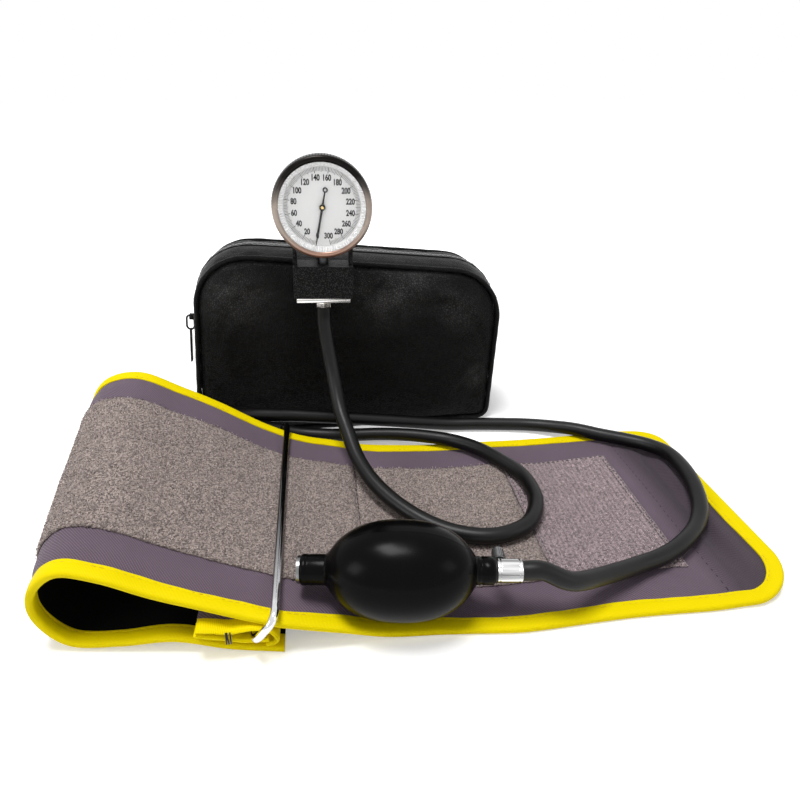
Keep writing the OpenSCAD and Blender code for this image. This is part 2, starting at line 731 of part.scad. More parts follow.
module dial() {
    color(white)
        place_gauge()
            translate([0, 0, -dial_thick])
                difference() {
                    cylinder(h = dial_thick, r = dial_r, $fn = 96);
                    translate([0, 0, -1])
                        cylinder(h = dial_thick + 2, r = 1, $fn = 24);
                }
}

arbor_r = 0.5;
hub_r = 0.75;
pointer_z = 1;
pointer_thick = 0.4;
pointer_disc_r = 1.5;
pointer_tail = 9;
module pointer() {
    color(black)
        place_gauge()
            rotate([0, 0, zero_angle])
                translate([0, 0, pointer_z])
                    difference() {
                        linear_extrude(pointer_thick) {
                            polygon([[-pointer_tail + 1, -0.35], [0, -0.4], [pointer_reach - 1, -0.22],
                                [pointer_reach, 0], [pointer_reach - 1, 0.22], [0, 0.4],
                                [-pointer_tail + 1, 0.35]]);
                            circle(r = pointer_disc_r, $fn = 32);
                            translate([-pointer_tail, 0])
                                difference() {
                                    circle(r = 1.4, $fn = 32);
                                    circle(r = 0.75, $fn = 32);
                                }
                        }
                        translate([0, 0, -1])
                            cylinder(h = pointer_thick + 2, r = hub_r + 0.02, $fn = 24);
                    }
}
module pointer_hub() {
    color(brass)
        place_gauge()
            lathe([[arbor_r + 0.02, pointer_z - 0.4], [hub_r + 0.3, pointer_z - 0.4],
                [hub_r + 0.3, pointer_z - fit],
                [hub_r, pointer_z - fit], [hub_r, pointer_z + pointer_thick + 0.3],
                [arbor_r + 0.02, pointer_z + pointer_thick + 0.3]], 48);
}

// Gear train: a ten-tooth pinion turned by a sector of twelve times its radius
gear_module = 0.25;
pinion_teeth = 10;
sector_full_teeth = 120;
train_ratio = sector_full_teeth / pinion_teeth;
pinion_pitch_r = gear_module * pinion_teeth / 2;
sector_pitch_r = gear_module * sector_full_teeth / 2;
tooth_up = 0.18;
tooth_down = 0.3;
sector_way = 60;
sector_pivot = (pinion_pitch_r + sector_pitch_r) * [cos(sector_way), sin(sector_way)];
gear_low = -6.3;
gear_thick = 1.4;
sector_swing = dial_full_turn / train_ratio;
plate_low = -9.2;
plate_t = 1;
top_low = -2.7;
top_t = 0.8;
module gear_tooth(pitch_r, at) {
    rotate([0, 0, at])
        polygon([[pitch_r - tooth_down - 0.1, -0.2], [pitch_r, -0.14], [pitch_r + tooth_up, -0.07],
            [pitch_r + tooth_up, 0.07], [pitch_r, 0.14], [pitch_r - tooth_down - 0.1, 0.2]]);
}
module pinion_arbor() {
    color(brass)
        place_gauge() {
            translate([0, 0, plate_low + 0.1])
                cylinder(h = pointer_z + pointer_thick + 0.6 - plate_low - 0.1, r = arbor_r, $fn = 32);
            translate([0, 0, gear_low])
                linear_extrude(gear_thick) {
                    circle(r = pinion_pitch_r - tooth_down, $fn = 32);
                    for (i = [0:pinion_teeth - 1])
                        gear_tooth(pinion_pitch_r, sector_way + (i + 0.5) * 360 / pinion_teeth);
                }
            translate([0, 0, collet_low])
                cylinder(h = spring_high, r = 1.1, $fn = 32);
        }
}
sector_shaft_r = 0.8;
sector_half = 16.5;
window_far = 12;
window_near = 5;
function arc_points(r, half, step) = [for (a = [-half:step:half]) r * [cos(a), sin(a)]];
function turned_back(p) = [for (i = [len(p) - 1:-1:0]) p[i]];
module sector_gear() {
    first = -floor(sector_swing / 3) - 2;
    middle = (first + 2) * 1.5;
    rim_r = sector_pitch_r - tooth_down;
    color(brass)
        place_gauge()
            translate([sector_pivot[0], sector_pivot[1], gear_low + 0.1])
                rotate([0, 0, 180 + sector_way])
                    difference() {
                        linear_extrude(gear_thick - 0.2) {
                            circle(r = 2.2, $fn = 32);
                            rotate([0, 0, middle])
                                difference() {
                                    polygon(concat([[0, 0]], arc_points(rim_r, sector_half + 3.5, 1)));
                                    polygon(concat(arc_points(window_far, sector_half - 5, 2),
                                        turned_back(arc_points(window_near, sector_half - 8, 2))));
                                }
                            for (k = [first:2])
                                gear_tooth(sector_pitch_r, k * 360 / sector_full_teeth);
                        }
                        translate([0, 0, -1])
                            cylinder(h = gear_thick + 2, r = sector_shaft_r + 0.02, $fn = 32);
                    }
}
module sector_shaft() {
    color(silver)
        place_gauge()
            translate([sector_pivot[0], sector_pivot[1], plate_low + 0.1])
                cylinder(h = top_low + top_t - plate_low - 0.2, r = sector_shaft_r, $fn = 32);
}
collet_low = -4.2;
spring_high = 0.6;
spring_turns = 4.5;
spring_inner = 1.45;
spring_pitch = 1;
spring_band = 0.22;
spring_out = spring_inner + spring_pitch * spring_turns;
module hairspring() {
    steps = 24 * spring_turns;
    angles = [for (i = [0:steps]) 360 * spring_turns * i / steps];
    function spiral(more) = [for (a = angles)
        (spring_inner + spring_pitch * a / 360 + more) * [cos(a), sin(a)]];
    color([0.55, 0.57, 0.75])
        place_gauge() {
            translate([0, 0, collet_low])
                linear_extrude(spring_high)
                    polygon(concat(spiral(0), turned_back(spiral(spring_band))));
            rotate([0, 0, 360 * spring_turns])
                translate([spring_out + spring_band / 2, 0, collet_low])
                    cylinder(h = top_low - collet_low, r = 0.45, $fn = 16);
        }
}
pillar_circle = 17;
pillar_r = 1.3;
pillar_angles = [90, 210, 330];
plate_r = 19;
pin_place = [-4, 0];
pin_r = 0.7;
module movement_plate(z, t, notched) {
    color(brass)
        place_gauge()
            translate([0, 0, z])
                difference() {
                    cylinder(h = t, r = plate_r, $fn = 96);
                    translate([0, 0, -1]) {
                        cylinder(h = t + 2, r = arbor_r + turning, $fn = 24);
                        translate(sector_pivot)
                            cylinder(h = t + 2, r = sector_shaft_r + turning, $fn = 24);
                        if (notched) {
                            translate([-4, -plate_r - 1, 0])
                                cube([8, plate_r - 14, t + 2]);
                            translate(pin_place)
                                cylinder(h = t + 2, r = pin_r + fit, $fn = 24);
                        } else {
                            for (a = pillar_angles)
                                rotate([0, 0, a])
                                    translate([pillar_circle, 0, 0])
                                        cylinder(h = t + 2, r = screw_r + fit, $fn = 24);
                        }
                    }
                }
}
module lower_plate() {
    movement_plate(plate_low, plate_t, true);
}
module upper_plate() {
    movement_plate(top_low, top_t, false);
}
screw_r = 0.6;
module pillars() {
    color(brass)
        place_gauge()
            for (a = pillar_angles)
                rotate([0, 0, a])
                    translate([pillar_circle, 0, 0]) {
                        translate([0, 0, floor_z])
                            cylinder(h = plate_low - floor_z, r = pillar_r, $fn = 32);
                        difference() {
                            translate([0, 0, plate_low + plate_t])
                                cylinder(h = top_low - plate_low - plate_t, r = pillar_r, $fn = 32);
                            translate([0, 0, top_low - 3])
                                cylinder(h = 4, r = screw_r + fit, $fn = 24);
                        }
                    }
}
module movement_screws() {
    color(silver)
        place_gauge()
            for (a = pillar_angles)
                rotate([0, 0, a])
                    translate([pillar_circle, 0, 0])
                        difference() {
                            union() {
                                translate([0, 0, top_low - 2.6])
                                    cylinder(h = 2.6 + top_t, r = screw_r, $fn = 24);
                                translate([0, 0, top_low + top_t])
                                    cylinder(h = 0.7, r = 1.1, $fn = 24);
                            }
                            translate([-2, -0.15, top_low + top_t + 0.4])
                                cube([4, 0.3, 1]);
                        }
}
capsule_low = floor_z + 0.7;
capsule_high = capsule_low + 3.6;
pipe_end = -6.6;
module capsule() {
    r = capsule_d / 2;
    mid = (capsule_low + capsule_high) / 2;
    color([0.78, 0.72, 0.5])
        place_gauge() {
            translate([pin_place[0], pin_place[1], 0])
                lathe([[0.9, floor_z], [4, floor_z], [4, capsule_low], [6, capsule_low + 0.5],
                    [8, capsule_low], [r - 1, capsule_low + 0.9], [r, mid - 0.3], [r, mid + 0.3],
                    [r - 1, capsule_high - 0.9], [8, capsule_high], [6, capsule_high - 0.5],
                    [3, capsule_high], [0, capsule_high], [0, capsule_high - 0.5], [3, capsule_high - 0.5],
                    [6, capsule_high - 1], [8, capsule_high - 0.5], [r - 1.2, mid], [8, capsule_low + 0.5],
                    [6, capsule_low + 1], [4, capsule_low + 0.5], [0.9, capsule_low + 0.5]], 64);
            translate([0, stem_top + 0.1, capsule_high + 0.6])
                rotate([-90, 0, 0])
                    cylinder(h = pipe_end - stem_top, r = 0.8, $fn = 24);
        }
}
pin_low = capsule_high + fit;
module push_pin() {
    color(silver)
        place_gauge()
            translate([pin_place[0], pin_place[1], pin_low])
                cylinder(h = plate_low + plate_t + 0.3 - pin_low, r = pin_r, $fn = 24);
}

// Bracket, plate, nut and stem under the gauge
block_top = -32.2;
block_low = block_top - bracket_height;
bracket_front = -0.5;
ear_thick = 2.2;
bracket_wall = 1.6;
module neck_bracket() {
    half = bracket_width / 2;
    color([0.1, 0.1, 0.1])
        place_gauge()
            difference() {
                union() {
                    translate([-half, block_low, bracket_front - bracket_depth])
                        cube([bracket_width, bracket_height, bracket_depth]);
                    for (x = [-half, half - ear_thick])
                        translate([x, block_top - 1, bracket_front - bracket_depth + 2])
                            cube([ear_thick, 18, bracket_depth - 6 - 2 * fit]);
                }
                translate([0, 0, back_z - 1])
                    cylinder(h = case_depth + 8, r = case_r + fit, $fn = 96);
                translate([-half + ear_thick, block_low - 1, bracket_front - bracket_depth + bracket_wall])
                    cube([bracket_width - 2 * ear_thick, bracket_height + 1 - bracket_wall,
                        bracket_depth - 2 * bracket_wall]);
                translate([0, block_top + 1, stem_z])
                    rotate([90, 0, 0])
                        cylinder(h = bracket_wall + 2, r = stem_r + fit, $fn = 32);
            }
}
module bracket_plate() {
    color(silver)
        place_gauge()
            difference() {
                translate([-bracket_width / 2 + 1.5, block_low - plate_thick,
                    bracket_front - bracket_depth + 0.5])
                    cube([bracket_width - 3, plate_thick - fit, bracket_depth - 1]);
                translate([0, block_low + 1, stem_z])
                    rotate([90, 0, 0])
                        cylinder(h = plate_thick + 2, r = stem_r + fit, $fn = 32);
            }
}
nozzle_low = block_low - plate_thick - nut_height;
module nozzle_nut() {
    color(silver)
        place_gauge()
            translate([0, block_low - plate_thick - fit, stem_z])
                rotate([90, 30, 0])
                    difference() {
                        cylinder(h = nut_height - fit, d = nut_flats / cos(30), $fn = 6);
                        translate([0, 0, -1])
                            cylinder(h = nut_height + 2, r = stem_r + fit, $fn = 32);
                    }
}
stem_top = -16;
module nozzle_stem() {
    color(brass)
        place_gauge()
            translate([0, 0, stem_z])
                rotate([90, 0, 0])
                    lathe([[1, -stem_top], [stem_r, -stem_top], [stem_r, -nozzle_low],
                        [barb_root_r, -nozzle_low], [barb_root_r, -nozzle_low + barb_length / 2],
                        [barb_d / 2, -nozzle_low + barb_length / 2],
                        [barb_root_r, -nozzle_low + barb_length],
                        [1, -nozzle_low + barb_length]], 48);
}

// Corners of the pouch's outline with their radii, as x, z and radius
pouch_corners = [
    [-198, 0, 8], [-2, 0, 8], [2, pouch_height - pouch_fall, 34], [-150, pouch_height, 60],
    [-183.5, pouch_height, 32]
];

// Spring clip on the case's back: its tongue hooks behind the pouch's front piping
rivet_rows = [6, 13];
rivet_r = 0.9;
clip_thick = 0.8;
pouch_front_y = 107;
clip_back = -(pouch_front_y + piping_d + seat + 0.2 - gauge_place[1]) - clip_thick;
// Height of the pouch's sloping top over its outline at x
function pouch_top(x) =
    let (a = pouch_corners[3], b = pouch_corners[2])
    a[1] + (b[1] - a[1]) * (x - a[0]) / (b[0] - a[0]);
clip_over_gusset = 1.3;
clip_low = pouch_top(gauge_place[0]) - gusset_inset + clip_over_gusset - gauge_place[2];
clip_top = 17;
clip_straight = 7.6;
clip_slant = 15;
module back_clip() {
    z0 = back_z - fit;
    t = clip_thick;
    low = clip_low + clip_straight;
    high = low + clip_slant;
    color(silver)
        place_gauge()
            translate([-clip_width / 2, 0, 0])
                rotate([90, 0, 90])
                    difference() {
                        linear_extrude(clip_width)
                            polygon([[clip_top, z0], [clip_top, z0 - t], [high, z0 - t], [low, clip_back],
                                [clip_low, clip_back], [clip_low, clip_back + t],
                                [low + t / 2, clip_back + t], [high + t / 2, z0]]);
                        for (y = rivet_rows)
                            translate([y, z0 + 1, clip_width / 2])
                                rotate([90, 0, 0])
                                    cylinder(h = 4, r = rivet_r + fit, $fn = 24);
                    }
}
module clip_rivets() {
    color(silver)
        place_gauge()
            for (y = rivet_rows)
                translate([0, y, 0]) {
                    translate([0, 0, back_z - clip_thick - 2 * fit - 0.7])
                        cylinder(h = 0.7, r = 1.7, $fn = 32);
                    translate([0, 0, back_z - clip_thick - 2 * fit])
                        cylinder(h = clip_thick + 2 * fit + case_wall + 0.1, r = rivet_r, $fn = 24);
                }
}

// ---------- Hoses ----------

hose_step = 14;
nozzle_end = gauge_point([0, nozzle_low, stem_z]);
nozzle_way = unit(nozzle_end - gauge_point([0, 0, stem_z]));
// The gauge hose's free route, from under the nozzle to before its bladder port
GAUGE_HOSE = [
    [-110, 91, 70], [-107.5, 83, 52], [-105, 69, 37], [-101, 53, 28], [-97, 37, 21.5],
    [-90, 20, 17], [-81, 6, 14], [-70.5, -6, 12], [-59, -15, 10.5], [-47, -21, 10],
    [-35, -23.5, 10], [-23, -21.5, 10], [-13, -15, 10], [-6, -3, 10], [-3.5, 9, 10], [-5, 25, 10],
    [-13, 41, 9.9], [-23, 56, 9.3], [-36, 68, 8.5], [-51, 75, 8.3], [-66, 80, 8], [-81, 83.5, 7.4],
    [-97, 84.5, 7.5], [-113, 85.5, 8.1], [-130, 87, 9.8], [-144, 87, 13.8], [-156, 83.8, 18.8]
];
// The bulb hose's free route, from past the sleeve to before its bladder port
BULB_HOSE = [
    [-13, -68, 21], [7, -60, 14.5], [27, -52, 10.4], [42, -47, 9.6], [56, -39.5, 9.5],
    [70, -28, 9.2], [80, -13.5, 10.6], [86.4, 7, 12], [88, 30, 11.6], [82.6, 44, 10],
    [71.6, 54.6, 8.8], [59, 62.6, 8.4], [46, 72, 7.9], [33, 80.6, 6], [19, 86.8, 4.8],
    [2, 90.5, 4.4], [-15, 93, 4.4], [-35, 94.8, 4.8], [-63, 95.3, 8.6], [-98, 95, 13.8],
    [-130, 94, 18.8], [-145, 92.2, 21.2], [-160.5, 89.6, 24.2], [-171, 85, 28.2]
];
gauge_hose_route = concat(
    [nozzle_end, nozzle_end + 9 * nozzle_way], GAUGE_HOSE,
    [port_end(gauge_port_u, gauge_port_way) + 9 * gauge_port_way, port_end(gauge_port_u, gauge_port_way)]);
bulb_hose_route = concat(
    [bulb_point(sleeve_end), bulb_point(sleeve_end + 9)], BULB_HOSE,
    [port_end(bulb_port_u, bulb_port_way) + 9 * bulb_port_way, port_end(bulb_port_u, bulb_port_way)]);
module gauge_hose() {
    color(soft_black)
        sweep(route_points(gauge_hose_route, hose_step), hose_d / 2, 12);
}
module bulb_hose() {
    color(soft_black)
        sweep(route_points(bulb_hose_route, hose_step), hose_d / 2, 12);
}

// ---------- Pouch ----------

function corner(i) = pouch_corners[(i + len(pouch_corners)) % len(pouch_corners)];
function flat(p) = [p[0], p[1]];
function left_of(v) = [-v[1], v[0]];
function inset_corner(i, d) =
    let (a = left_of(unit(flat(corner(i)) - flat(corner(i - 1)))))
    let (b = left_of(unit(flat(corner(i + 1)) - flat(corner(i)))))
    flat(corner(i)) + d * (a + b) / (1 + a * b);
// Points round one corner of the outline, moved in by d
function corner_arc(i, d) =
    let (p = inset_corner(i, d), r = max(0.5, corner(i)[2] - d))
    let (a = unit(inset_corner(i - 1, d) - p), b = unit(inset_corner(i + 1, d) - p))
    let (half = acos(clamp(a * b, -1, 1)) / 2, c = p + unit(a + b) * r / sin(half))
    let (from = c - (left_of(unit(p - inset_corner(i - 1, d)))) * r)
    let (sweep_angle = 180 - 2 * half, start = atan2(from[1] - c[1], from[0] - c[0]))
    [for (k = [0:6]) c + r * [cos(start + sweep_angle * k / 6), sin(start + sweep_angle * k / 6)]];
function pouch_outline(d) = [for (i = [0:len(pouch_corners) - 1], p = corner_arc(i, d)) p];

// A flat shape in XZ, pushed back along Y from y0 to y1
module upright(y0, y1) {
    translate([0, y1, 0])
        rotate([90, 0, 0])
            linear_extrude(y1 - y0)
                children();
}
pouch_back_y = pouch_front_y + pouch_depth;
panel_inset = piping_d + 0.2;
module pouch_front() {
    color(black)
        upright(pouch_front_y, pouch_front_y + panel_thick)
            polygon(pouch_outline(panel_inset));
}
module pouch_back() {
    color(black)
        upright(pouch_back_y - panel_thick, pouch_back_y)
            polygon(pouch_outline(panel_inset));
}
module piping(y) {
    color(soft_black)
        sweep([for (p = pouch_outline(piping_d / 2)) [p[0], y, p[1]]], piping_d / 2, 8, true);
}
module front_piping() {
    piping(pouch_front_y + piping_d / 2);
}
module back_piping() {
    piping(pouch_back_y - piping_d / 2);
}
zip_from_z = 34;
gusset_start = pouch_front_y + piping_d + seat;
gusset_end = pouch_back_y - piping_d - seat;
zip_y = (gusset_start + gusset_end) / 2 + 1;
tape_gap = 0.6;
tape_edge = tape_gap / 2 + tape_width;
over_all = 600;
module gusset_band(y0, y1, low, high, inset = gusset_inset, wall = gusset_wall) {
    upright(y0, y1)
        intersection() {
            difference() {
                polygon(pouch_outline(inset));
                polygon(pouch_outline(inset + wall));
            }
            translate([-over_all / 2, low])
                square([over_all, high - low]);
        }
}
// Points over the pouch from a height on its left side to the same height on its right side
function side_point(a, b, z) = mix(a, b, (z - a[1]) / (b[1] - a[1]));
function over_top(inset, low) =
    let (p = pouch_outline(inset))
    concat([side_point(p[0], p[34], low)], [for (i = [34:-1:14]) p[i]], [side_point(p[13], p[14], low)]);
// A curved strip of the gusset between the piping and the zip; each row is a place along Y and an inset
module gusset_strip(rows) {
    outer = [for (r = rows) over_top(r[1], zip_from_z)];
    inner = [for (r = rows) over_top(r[1] + gusset_wall, zip_from_z)];
    shell_loft([for (i = [0:len(outer[0]) - 1]) [
        [for (k = [0:len(rows) - 1]) [outer[k][i][0], rows[k][0], outer[k][i][1]]],
        [for (k = [0:len(rows) - 1]) [inner[k][i][0], rows[k][0], inner[k][i][1]]]]]);
}
// Shares of the way from the piping to the zip, and of the rise from the one to the other
gusset_curve = [[0, 0], [0.36, 0.62], [0.7, 0.94], [1, 1]];
function gusset_rows(from, to) = [for (c = gusset_curve)
    [mix(from, to, c[0]), mix(gusset_inset, -ridge_rise, c[1])]];
module gusset_front() {
    color(black)
        gusset_strip(gusset_rows(gusset_start, zip_y - tape_edge - seat));
}
module gusset_back() {
    rows = gusset_rows(gusset_end, zip_y + tape_edge + seat);
    color(black)
        gusset_strip(turned_back(rows));
}
module pouch_base() {
    color(black)
        gusset_band(gusset_start, gusset_end, -1, zip_from_z - seat);
}
module zip_tapes() {
    color(soft_black) {
        gusset_band(zip_y - tape_edge, zip_y - tape_gap / 2, zip_from_z, over_all, zip_inset, tape_thick);
        gusset_band(zip_y + tape_gap / 2, zip_y + tape_edge, zip_from_z, over_all, zip_inset, tape_thick);
    }
}

// The zip's line: up the left side, over the top and down the right side
zip_inset = 0.4 - ridge_rise;
zip_foot_z = zip_from_z + 3;
tape_thick = 0.8;
zip_points = over_top(zip_inset, zip_foot_z);
zip_lengths = [for (i = [0:len(zip_points) - 1])
    total([for (k = [0:i - 1]) if (i > 0) norm(zip_points[k + 1] - zip_points[k])])];
zip_length = zip_lengths[len(zip_lengths) - 1];
zip_x_table = [for (i = [0:len(zip_points) - 1]) [zip_lengths[i], zip_points[i][0]]];
zip_z_table = [for (i = [0:len(zip_points) - 1]) [zip_lengths[i], zip_points[i][1]]];
function zip_at(s) = [lookup(s, zip_x_table), lookup(s, zip_z_table)];
function zip_angle(s) =
    let (d = zip_at(min(s + 0.6, zip_length)) - zip_at(max(s - 0.6, 0)))
    atan2(d[1], d[0]);
// Something standing on the zip's line: X along the line, Y across the tapes, Z outwards
module on_zip(s) {
    p = zip_at(s);
    translate([p[0], zip_y, p[1]])
        rotate([0, -zip_angle(s), 0])
            children();
}
tooth_length = 1.3;
tooth_reach = 3.2;
tooth_bite = 0.8;
teeth_from = 3;
tooth_count = floor((zip_length - 2 * teeth_from) / tooth_pitch);
// The cord that carries a row of teeth, inside their height and a little past their roots
cord_near = 1;
cord_far = tooth_reach - tooth_bite + 0.2;
cord_thick = 0.6 * tooth_height;
cord_lift = fit + 0.2 * tooth_height;
module zip_teeth(side) {
    near = side > 0 ? cord_near : -cord_far;
    color([0.14, 0.14, 0.14]) {
        gusset_band(zip_y + near, zip_y + near + cord_far - cord_near,
            zip_foot_z + stop_length + seat, over_all, zip_inset - cord_lift - cord_thick, cord_thick);
        for (k = [0:tooth_count - 1])
            on_zip(teeth_from + (k + (side > 0 ? 0.5 : 0)) * tooth_pitch)
                translate([-tooth_length / 2, side > 0 ? -tooth_bite : tooth_bite - tooth_reach, fit])
                    cube([tooth_length, tooth_reach, tooth_height]);
    }
}
module front_teeth() {
    zip_teeth(-1);
}
module back_teeth() {
    zip_teeth(1);
}
slider_s = 38;
slider_length = 9;
slider_half = tooth_reach + 0.6;
slider_lid = 0.9;
module zip_slider() {
    lift = fit + tooth_height + seat;
    color([0.16, 0.16, 0.17])
        on_zip(slider_s) {
            translate([-slider_length / 2, -slider_half, lift])
                cube([slider_length, 2 * slider_half, slider_lid]);
            for (y = [-slider_half, slider_half - 0.8])
                translate([-slider_length / 2, y, seat])
                    cube([slider_length, 0.8, lift]);
            for (y = [-1.6, 1])
                translate([-1.6, y, lift])
                    difference() {
                        cube([3.2, 0.6, slider_lid + 3.4]);
                        translate([1.6, 1, slider_lid + 2])
                            rotate([90, 0, 0])
                                cylinder(h = 2, r = 0.8 + turning, $fn = 24);
                    }
        }
}
module zip_pull() {
    axis_z = fit + tooth_height + seat + slider_lid + 2;
    color([0.2, 0.2, 0.21])
        on_zip(slider_s)
            translate([0, 0, axis_z]) {
                translate([0, 1.9, 0])
                    rotate([90, 0, 0])
                        cylinder(h = 3.8, r = 0.8, $fn = 24);
                translate([-pull_length, -0.85, -0.5])
                    cube([pull_length, 1.7, 1]);
                translate([-pull_length - 1, -2, -0.5])
                    cube([pull_length * 0.75, 4, 1]);
            }
}
stop_length = 1.2;
stop_width = 1.5 * tooth_reach;
module zip_stops() {
    color(silver)
        for (s = [stop_length / 2, zip_length - stop_length / 2])
            on_zip(s)
                translate([-stop_length / 2, -stop_width / 2, fit])
                    cube([stop_length, stop_width, tooth_height]);
}

cuff_outer_cloth();
cuff_lining();
cuff_binding();
bladder();
bladder_ports();
pile_patch();
hook_patch();
ring_hem();
cuff_ring();
gauge_hose();
bulb_hose();
bulb();
intake_valve();
intake_screen();
intake_ball();
outlet_valve();
outlet_ball();
hose_barb();
neck_washer();
bleed_needle();
bleed_knob();
gauge_case();
bezel();
crystal();
crystal_ring();
dial();
pointer();
pointer_hub();
pinion_arbor();
hairspring();
sector_gear();
sector_shaft();
lower_plate();
upper_plate();
pillars();
movement_screws();
capsule();
push_pin();
neck_bracket();
bracket_plate();
nozzle_nut();
nozzle_stem();
back_clip();
clip_rivets();
pouch_front();
pouch_back();
gusset_front();
gusset_back();
pouch_base();
front_piping();
back_piping();
zip_tapes();
front_teeth();
back_teeth();
zip_slider();
zip_pull();
zip_stops();
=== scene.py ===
"""Looks of the aneroid blood-pressure kit: a cuff closed into an arm loop, bulb, gauge, hoses and zip pouch.

Shapes are worked out in millimetres in the CAD model's frame and turned into metres when a mesh is made.
"""
import math

import bmesh
import bpy
import numpy as np
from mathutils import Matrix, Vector


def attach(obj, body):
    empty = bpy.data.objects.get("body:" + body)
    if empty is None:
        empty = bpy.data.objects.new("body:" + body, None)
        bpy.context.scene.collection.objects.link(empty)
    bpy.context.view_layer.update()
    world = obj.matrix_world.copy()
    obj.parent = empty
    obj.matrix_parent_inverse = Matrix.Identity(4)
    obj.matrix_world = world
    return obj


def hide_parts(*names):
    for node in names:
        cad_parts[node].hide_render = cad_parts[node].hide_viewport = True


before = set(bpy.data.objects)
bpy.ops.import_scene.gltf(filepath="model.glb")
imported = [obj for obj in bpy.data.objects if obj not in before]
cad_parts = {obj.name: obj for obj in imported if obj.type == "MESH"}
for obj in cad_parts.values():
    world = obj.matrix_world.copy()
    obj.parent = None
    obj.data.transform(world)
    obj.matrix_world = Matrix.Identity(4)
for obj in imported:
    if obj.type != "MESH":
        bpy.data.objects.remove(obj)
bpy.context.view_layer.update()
MM = 0.001
TURN = 2 * math.pi
random = np.random.default_rng(11)


def linked(name, data):
    """A new object in the scene."""
    piece = bpy.data.objects.new(name, data)
    bpy.context.scene.collection.objects.link(piece)
    return piece


# ---------- Camera ----------

EYE = (-110, -244, 209)
LOOK_DOWN, LOOK_RIGHT = 28.3, 7.5
LENS, SENSOR = 27, 36

camera = linked("camera", bpy.data.cameras.new("camera"))
camera.data.lens, camera.data.sensor_width = LENS, SENSOR
camera.location = [v * MM for v in EYE]
camera.rotation_euler = (math.radians(90 - LOOK_DOWN), 0, math.radians(-LOOK_RIGHT))
bpy.context.scene.camera = camera


# ---------- Numbers along curves ----------

def unit(v):
    return v / np.linalg.norm(v, axis=-1, keepdims=True)


def smooth(t):
    t = np.clip(t, 0, 1)
    return t * t * (3 - 2 * t)


def hill(x, wide):
    """1 where x is 0, falling off to both sides."""
    return np.exp(-(x / wide) ** 2)


def pts(*parts):
    """Points from their coordinates; a coordinate may be one number for all of them."""
    return np.stack(np.broadcast_arrays(*parts), -1)


def left(way):
    """The way to the left of a flat way."""
    return pts(-way[..., 1], way[..., 0])


def upright(points, y):
    """Points drawn on X and Z, at y."""
    return pts(points[..., 0], y, points[..., 1])


def curve(points, t):
    """Points on a smooth curve: t = 2.5 lies half way from the third point to the fourth."""
    points = np.asarray(points, float)
    ends = np.vstack([2 * points[0] - points[1], points, 2 * points[-1] - points[-2]])
    t = np.asarray(t, float)
    i = np.clip(np.floor(t).astype(int), 0, len(points) - 2)
    x = (t - i)[..., None]
    a, b, c, d = (ends[i + k] for k in range(4))
    return 0.5 * (2 * b + (c - a) * x + (2 * a - 5 * b + 4 * c - d) * x ** 2 + (3 * b - a - 3 * c + d) * x ** 3)


def even(points, step, closed=False):
    """The same line with its points a step apart."""
    points = np.asarray(points, float)
    if closed:
        points = np.vstack([points, points[:1]])
    along = np.concatenate([[0], np.cumsum(np.linalg.norm(np.diff(points, axis=0), axis=1))])
    count = max(2, round(along[-1] / step)) + 1
    at = np.linspace(0, along[-1], count)[:count - 1 if closed else count]
    return np.stack([np.interp(at, along, column) for column in points.T], 1)


def waves(u, v, seed, scale, amount):
    """Soft uneven hills over a surface, as a sum of a few sines."""
    draw = np.random.default_rng(seed)
    out = 0.0
    for _ in range(6):
        turn, phase, size = draw.uniform(0, TURN), draw.uniform(0, TURN), draw.uniform(0.7, 1.5)
        out = out + np.sin((u * math.cos(turn) + v * math.sin(turn)) * TURN / (scale * size) + phase)
    return out * amount / 3


# ---------- Meshes: a form is its points in millimetres and its faces ----------

def make(name, form, finish, replaces=(), body="root", soft=True, place=None, tint=None):
    """A piece from a form; place and tint are kept on its points for the materials."""
    points, faces = form
    mesh = bpy.data.meshes.new(name)
    mesh.from_pydata((np.asarray(points, float) * MM).tolist(), [], faces)
    mesh.validate()
    mesh.polygons.foreach_set("use_smooth", [soft] * len(mesh.polygons))
    if place is not None:
        layer = mesh.attributes.new("place", "FLOAT_VECTOR", "POINT")
        layer.data.foreach_set("vector", (np.asarray(place, np.float32) * MM).ravel())
    if tint is not None:
        mesh.attributes.new("tint", "FLOAT", "POINT").data.foreach_set("value", np.asarray(tint, np.float32))
    mesh.materials.append(finish.material)
    piece = linked(name, mesh)
    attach(piece, body)
    if replaces:
        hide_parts(*replaces)
    return piece


def net(rows, columns, round_rows=False, round_columns=False, start=0):
    """Quads of a grid whose points are counted row by row."""
    i, j = np.meshgrid(np.arange(rows - (not round_rows)), np.arange(columns - (not round_columns)), indexing="ij")
    row, next_row, next_j = i * columns, (i + 1) % rows * columns, (j + 1) % columns
    return (pts(row + j, row + next_j, next_row + next_j, next_row + j).reshape(-1, 4) + start).tolist()


def lids(rows, columns):
    """The two flat ends of a net that is round along its columns."""
    return [list(range(columns))[::-1], list(range((rows - 1) * columns, rows * columns))]


def shell(top, low):
    """A closed skin from two matching grids of points, top and low, each rows by columns."""
    rows, columns = top.shape[:2]
    n = rows * columns
    ids = np.arange(n).reshape(rows, columns)
    rim = np.concatenate([ids[0], ids[1:, -1], ids[-1, -2::-1], ids[-2:0:-1, 0]])
    after = np.roll(rim, -1)
    faces = net(rows, columns) + [f[::-1] for f in net(rows, columns, start=n)]
    faces += pts(rim, rim + n, after + n, after).tolist()
    return np.vstack([top.reshape(-1, 3), low.reshape(-1, 3)]), faces


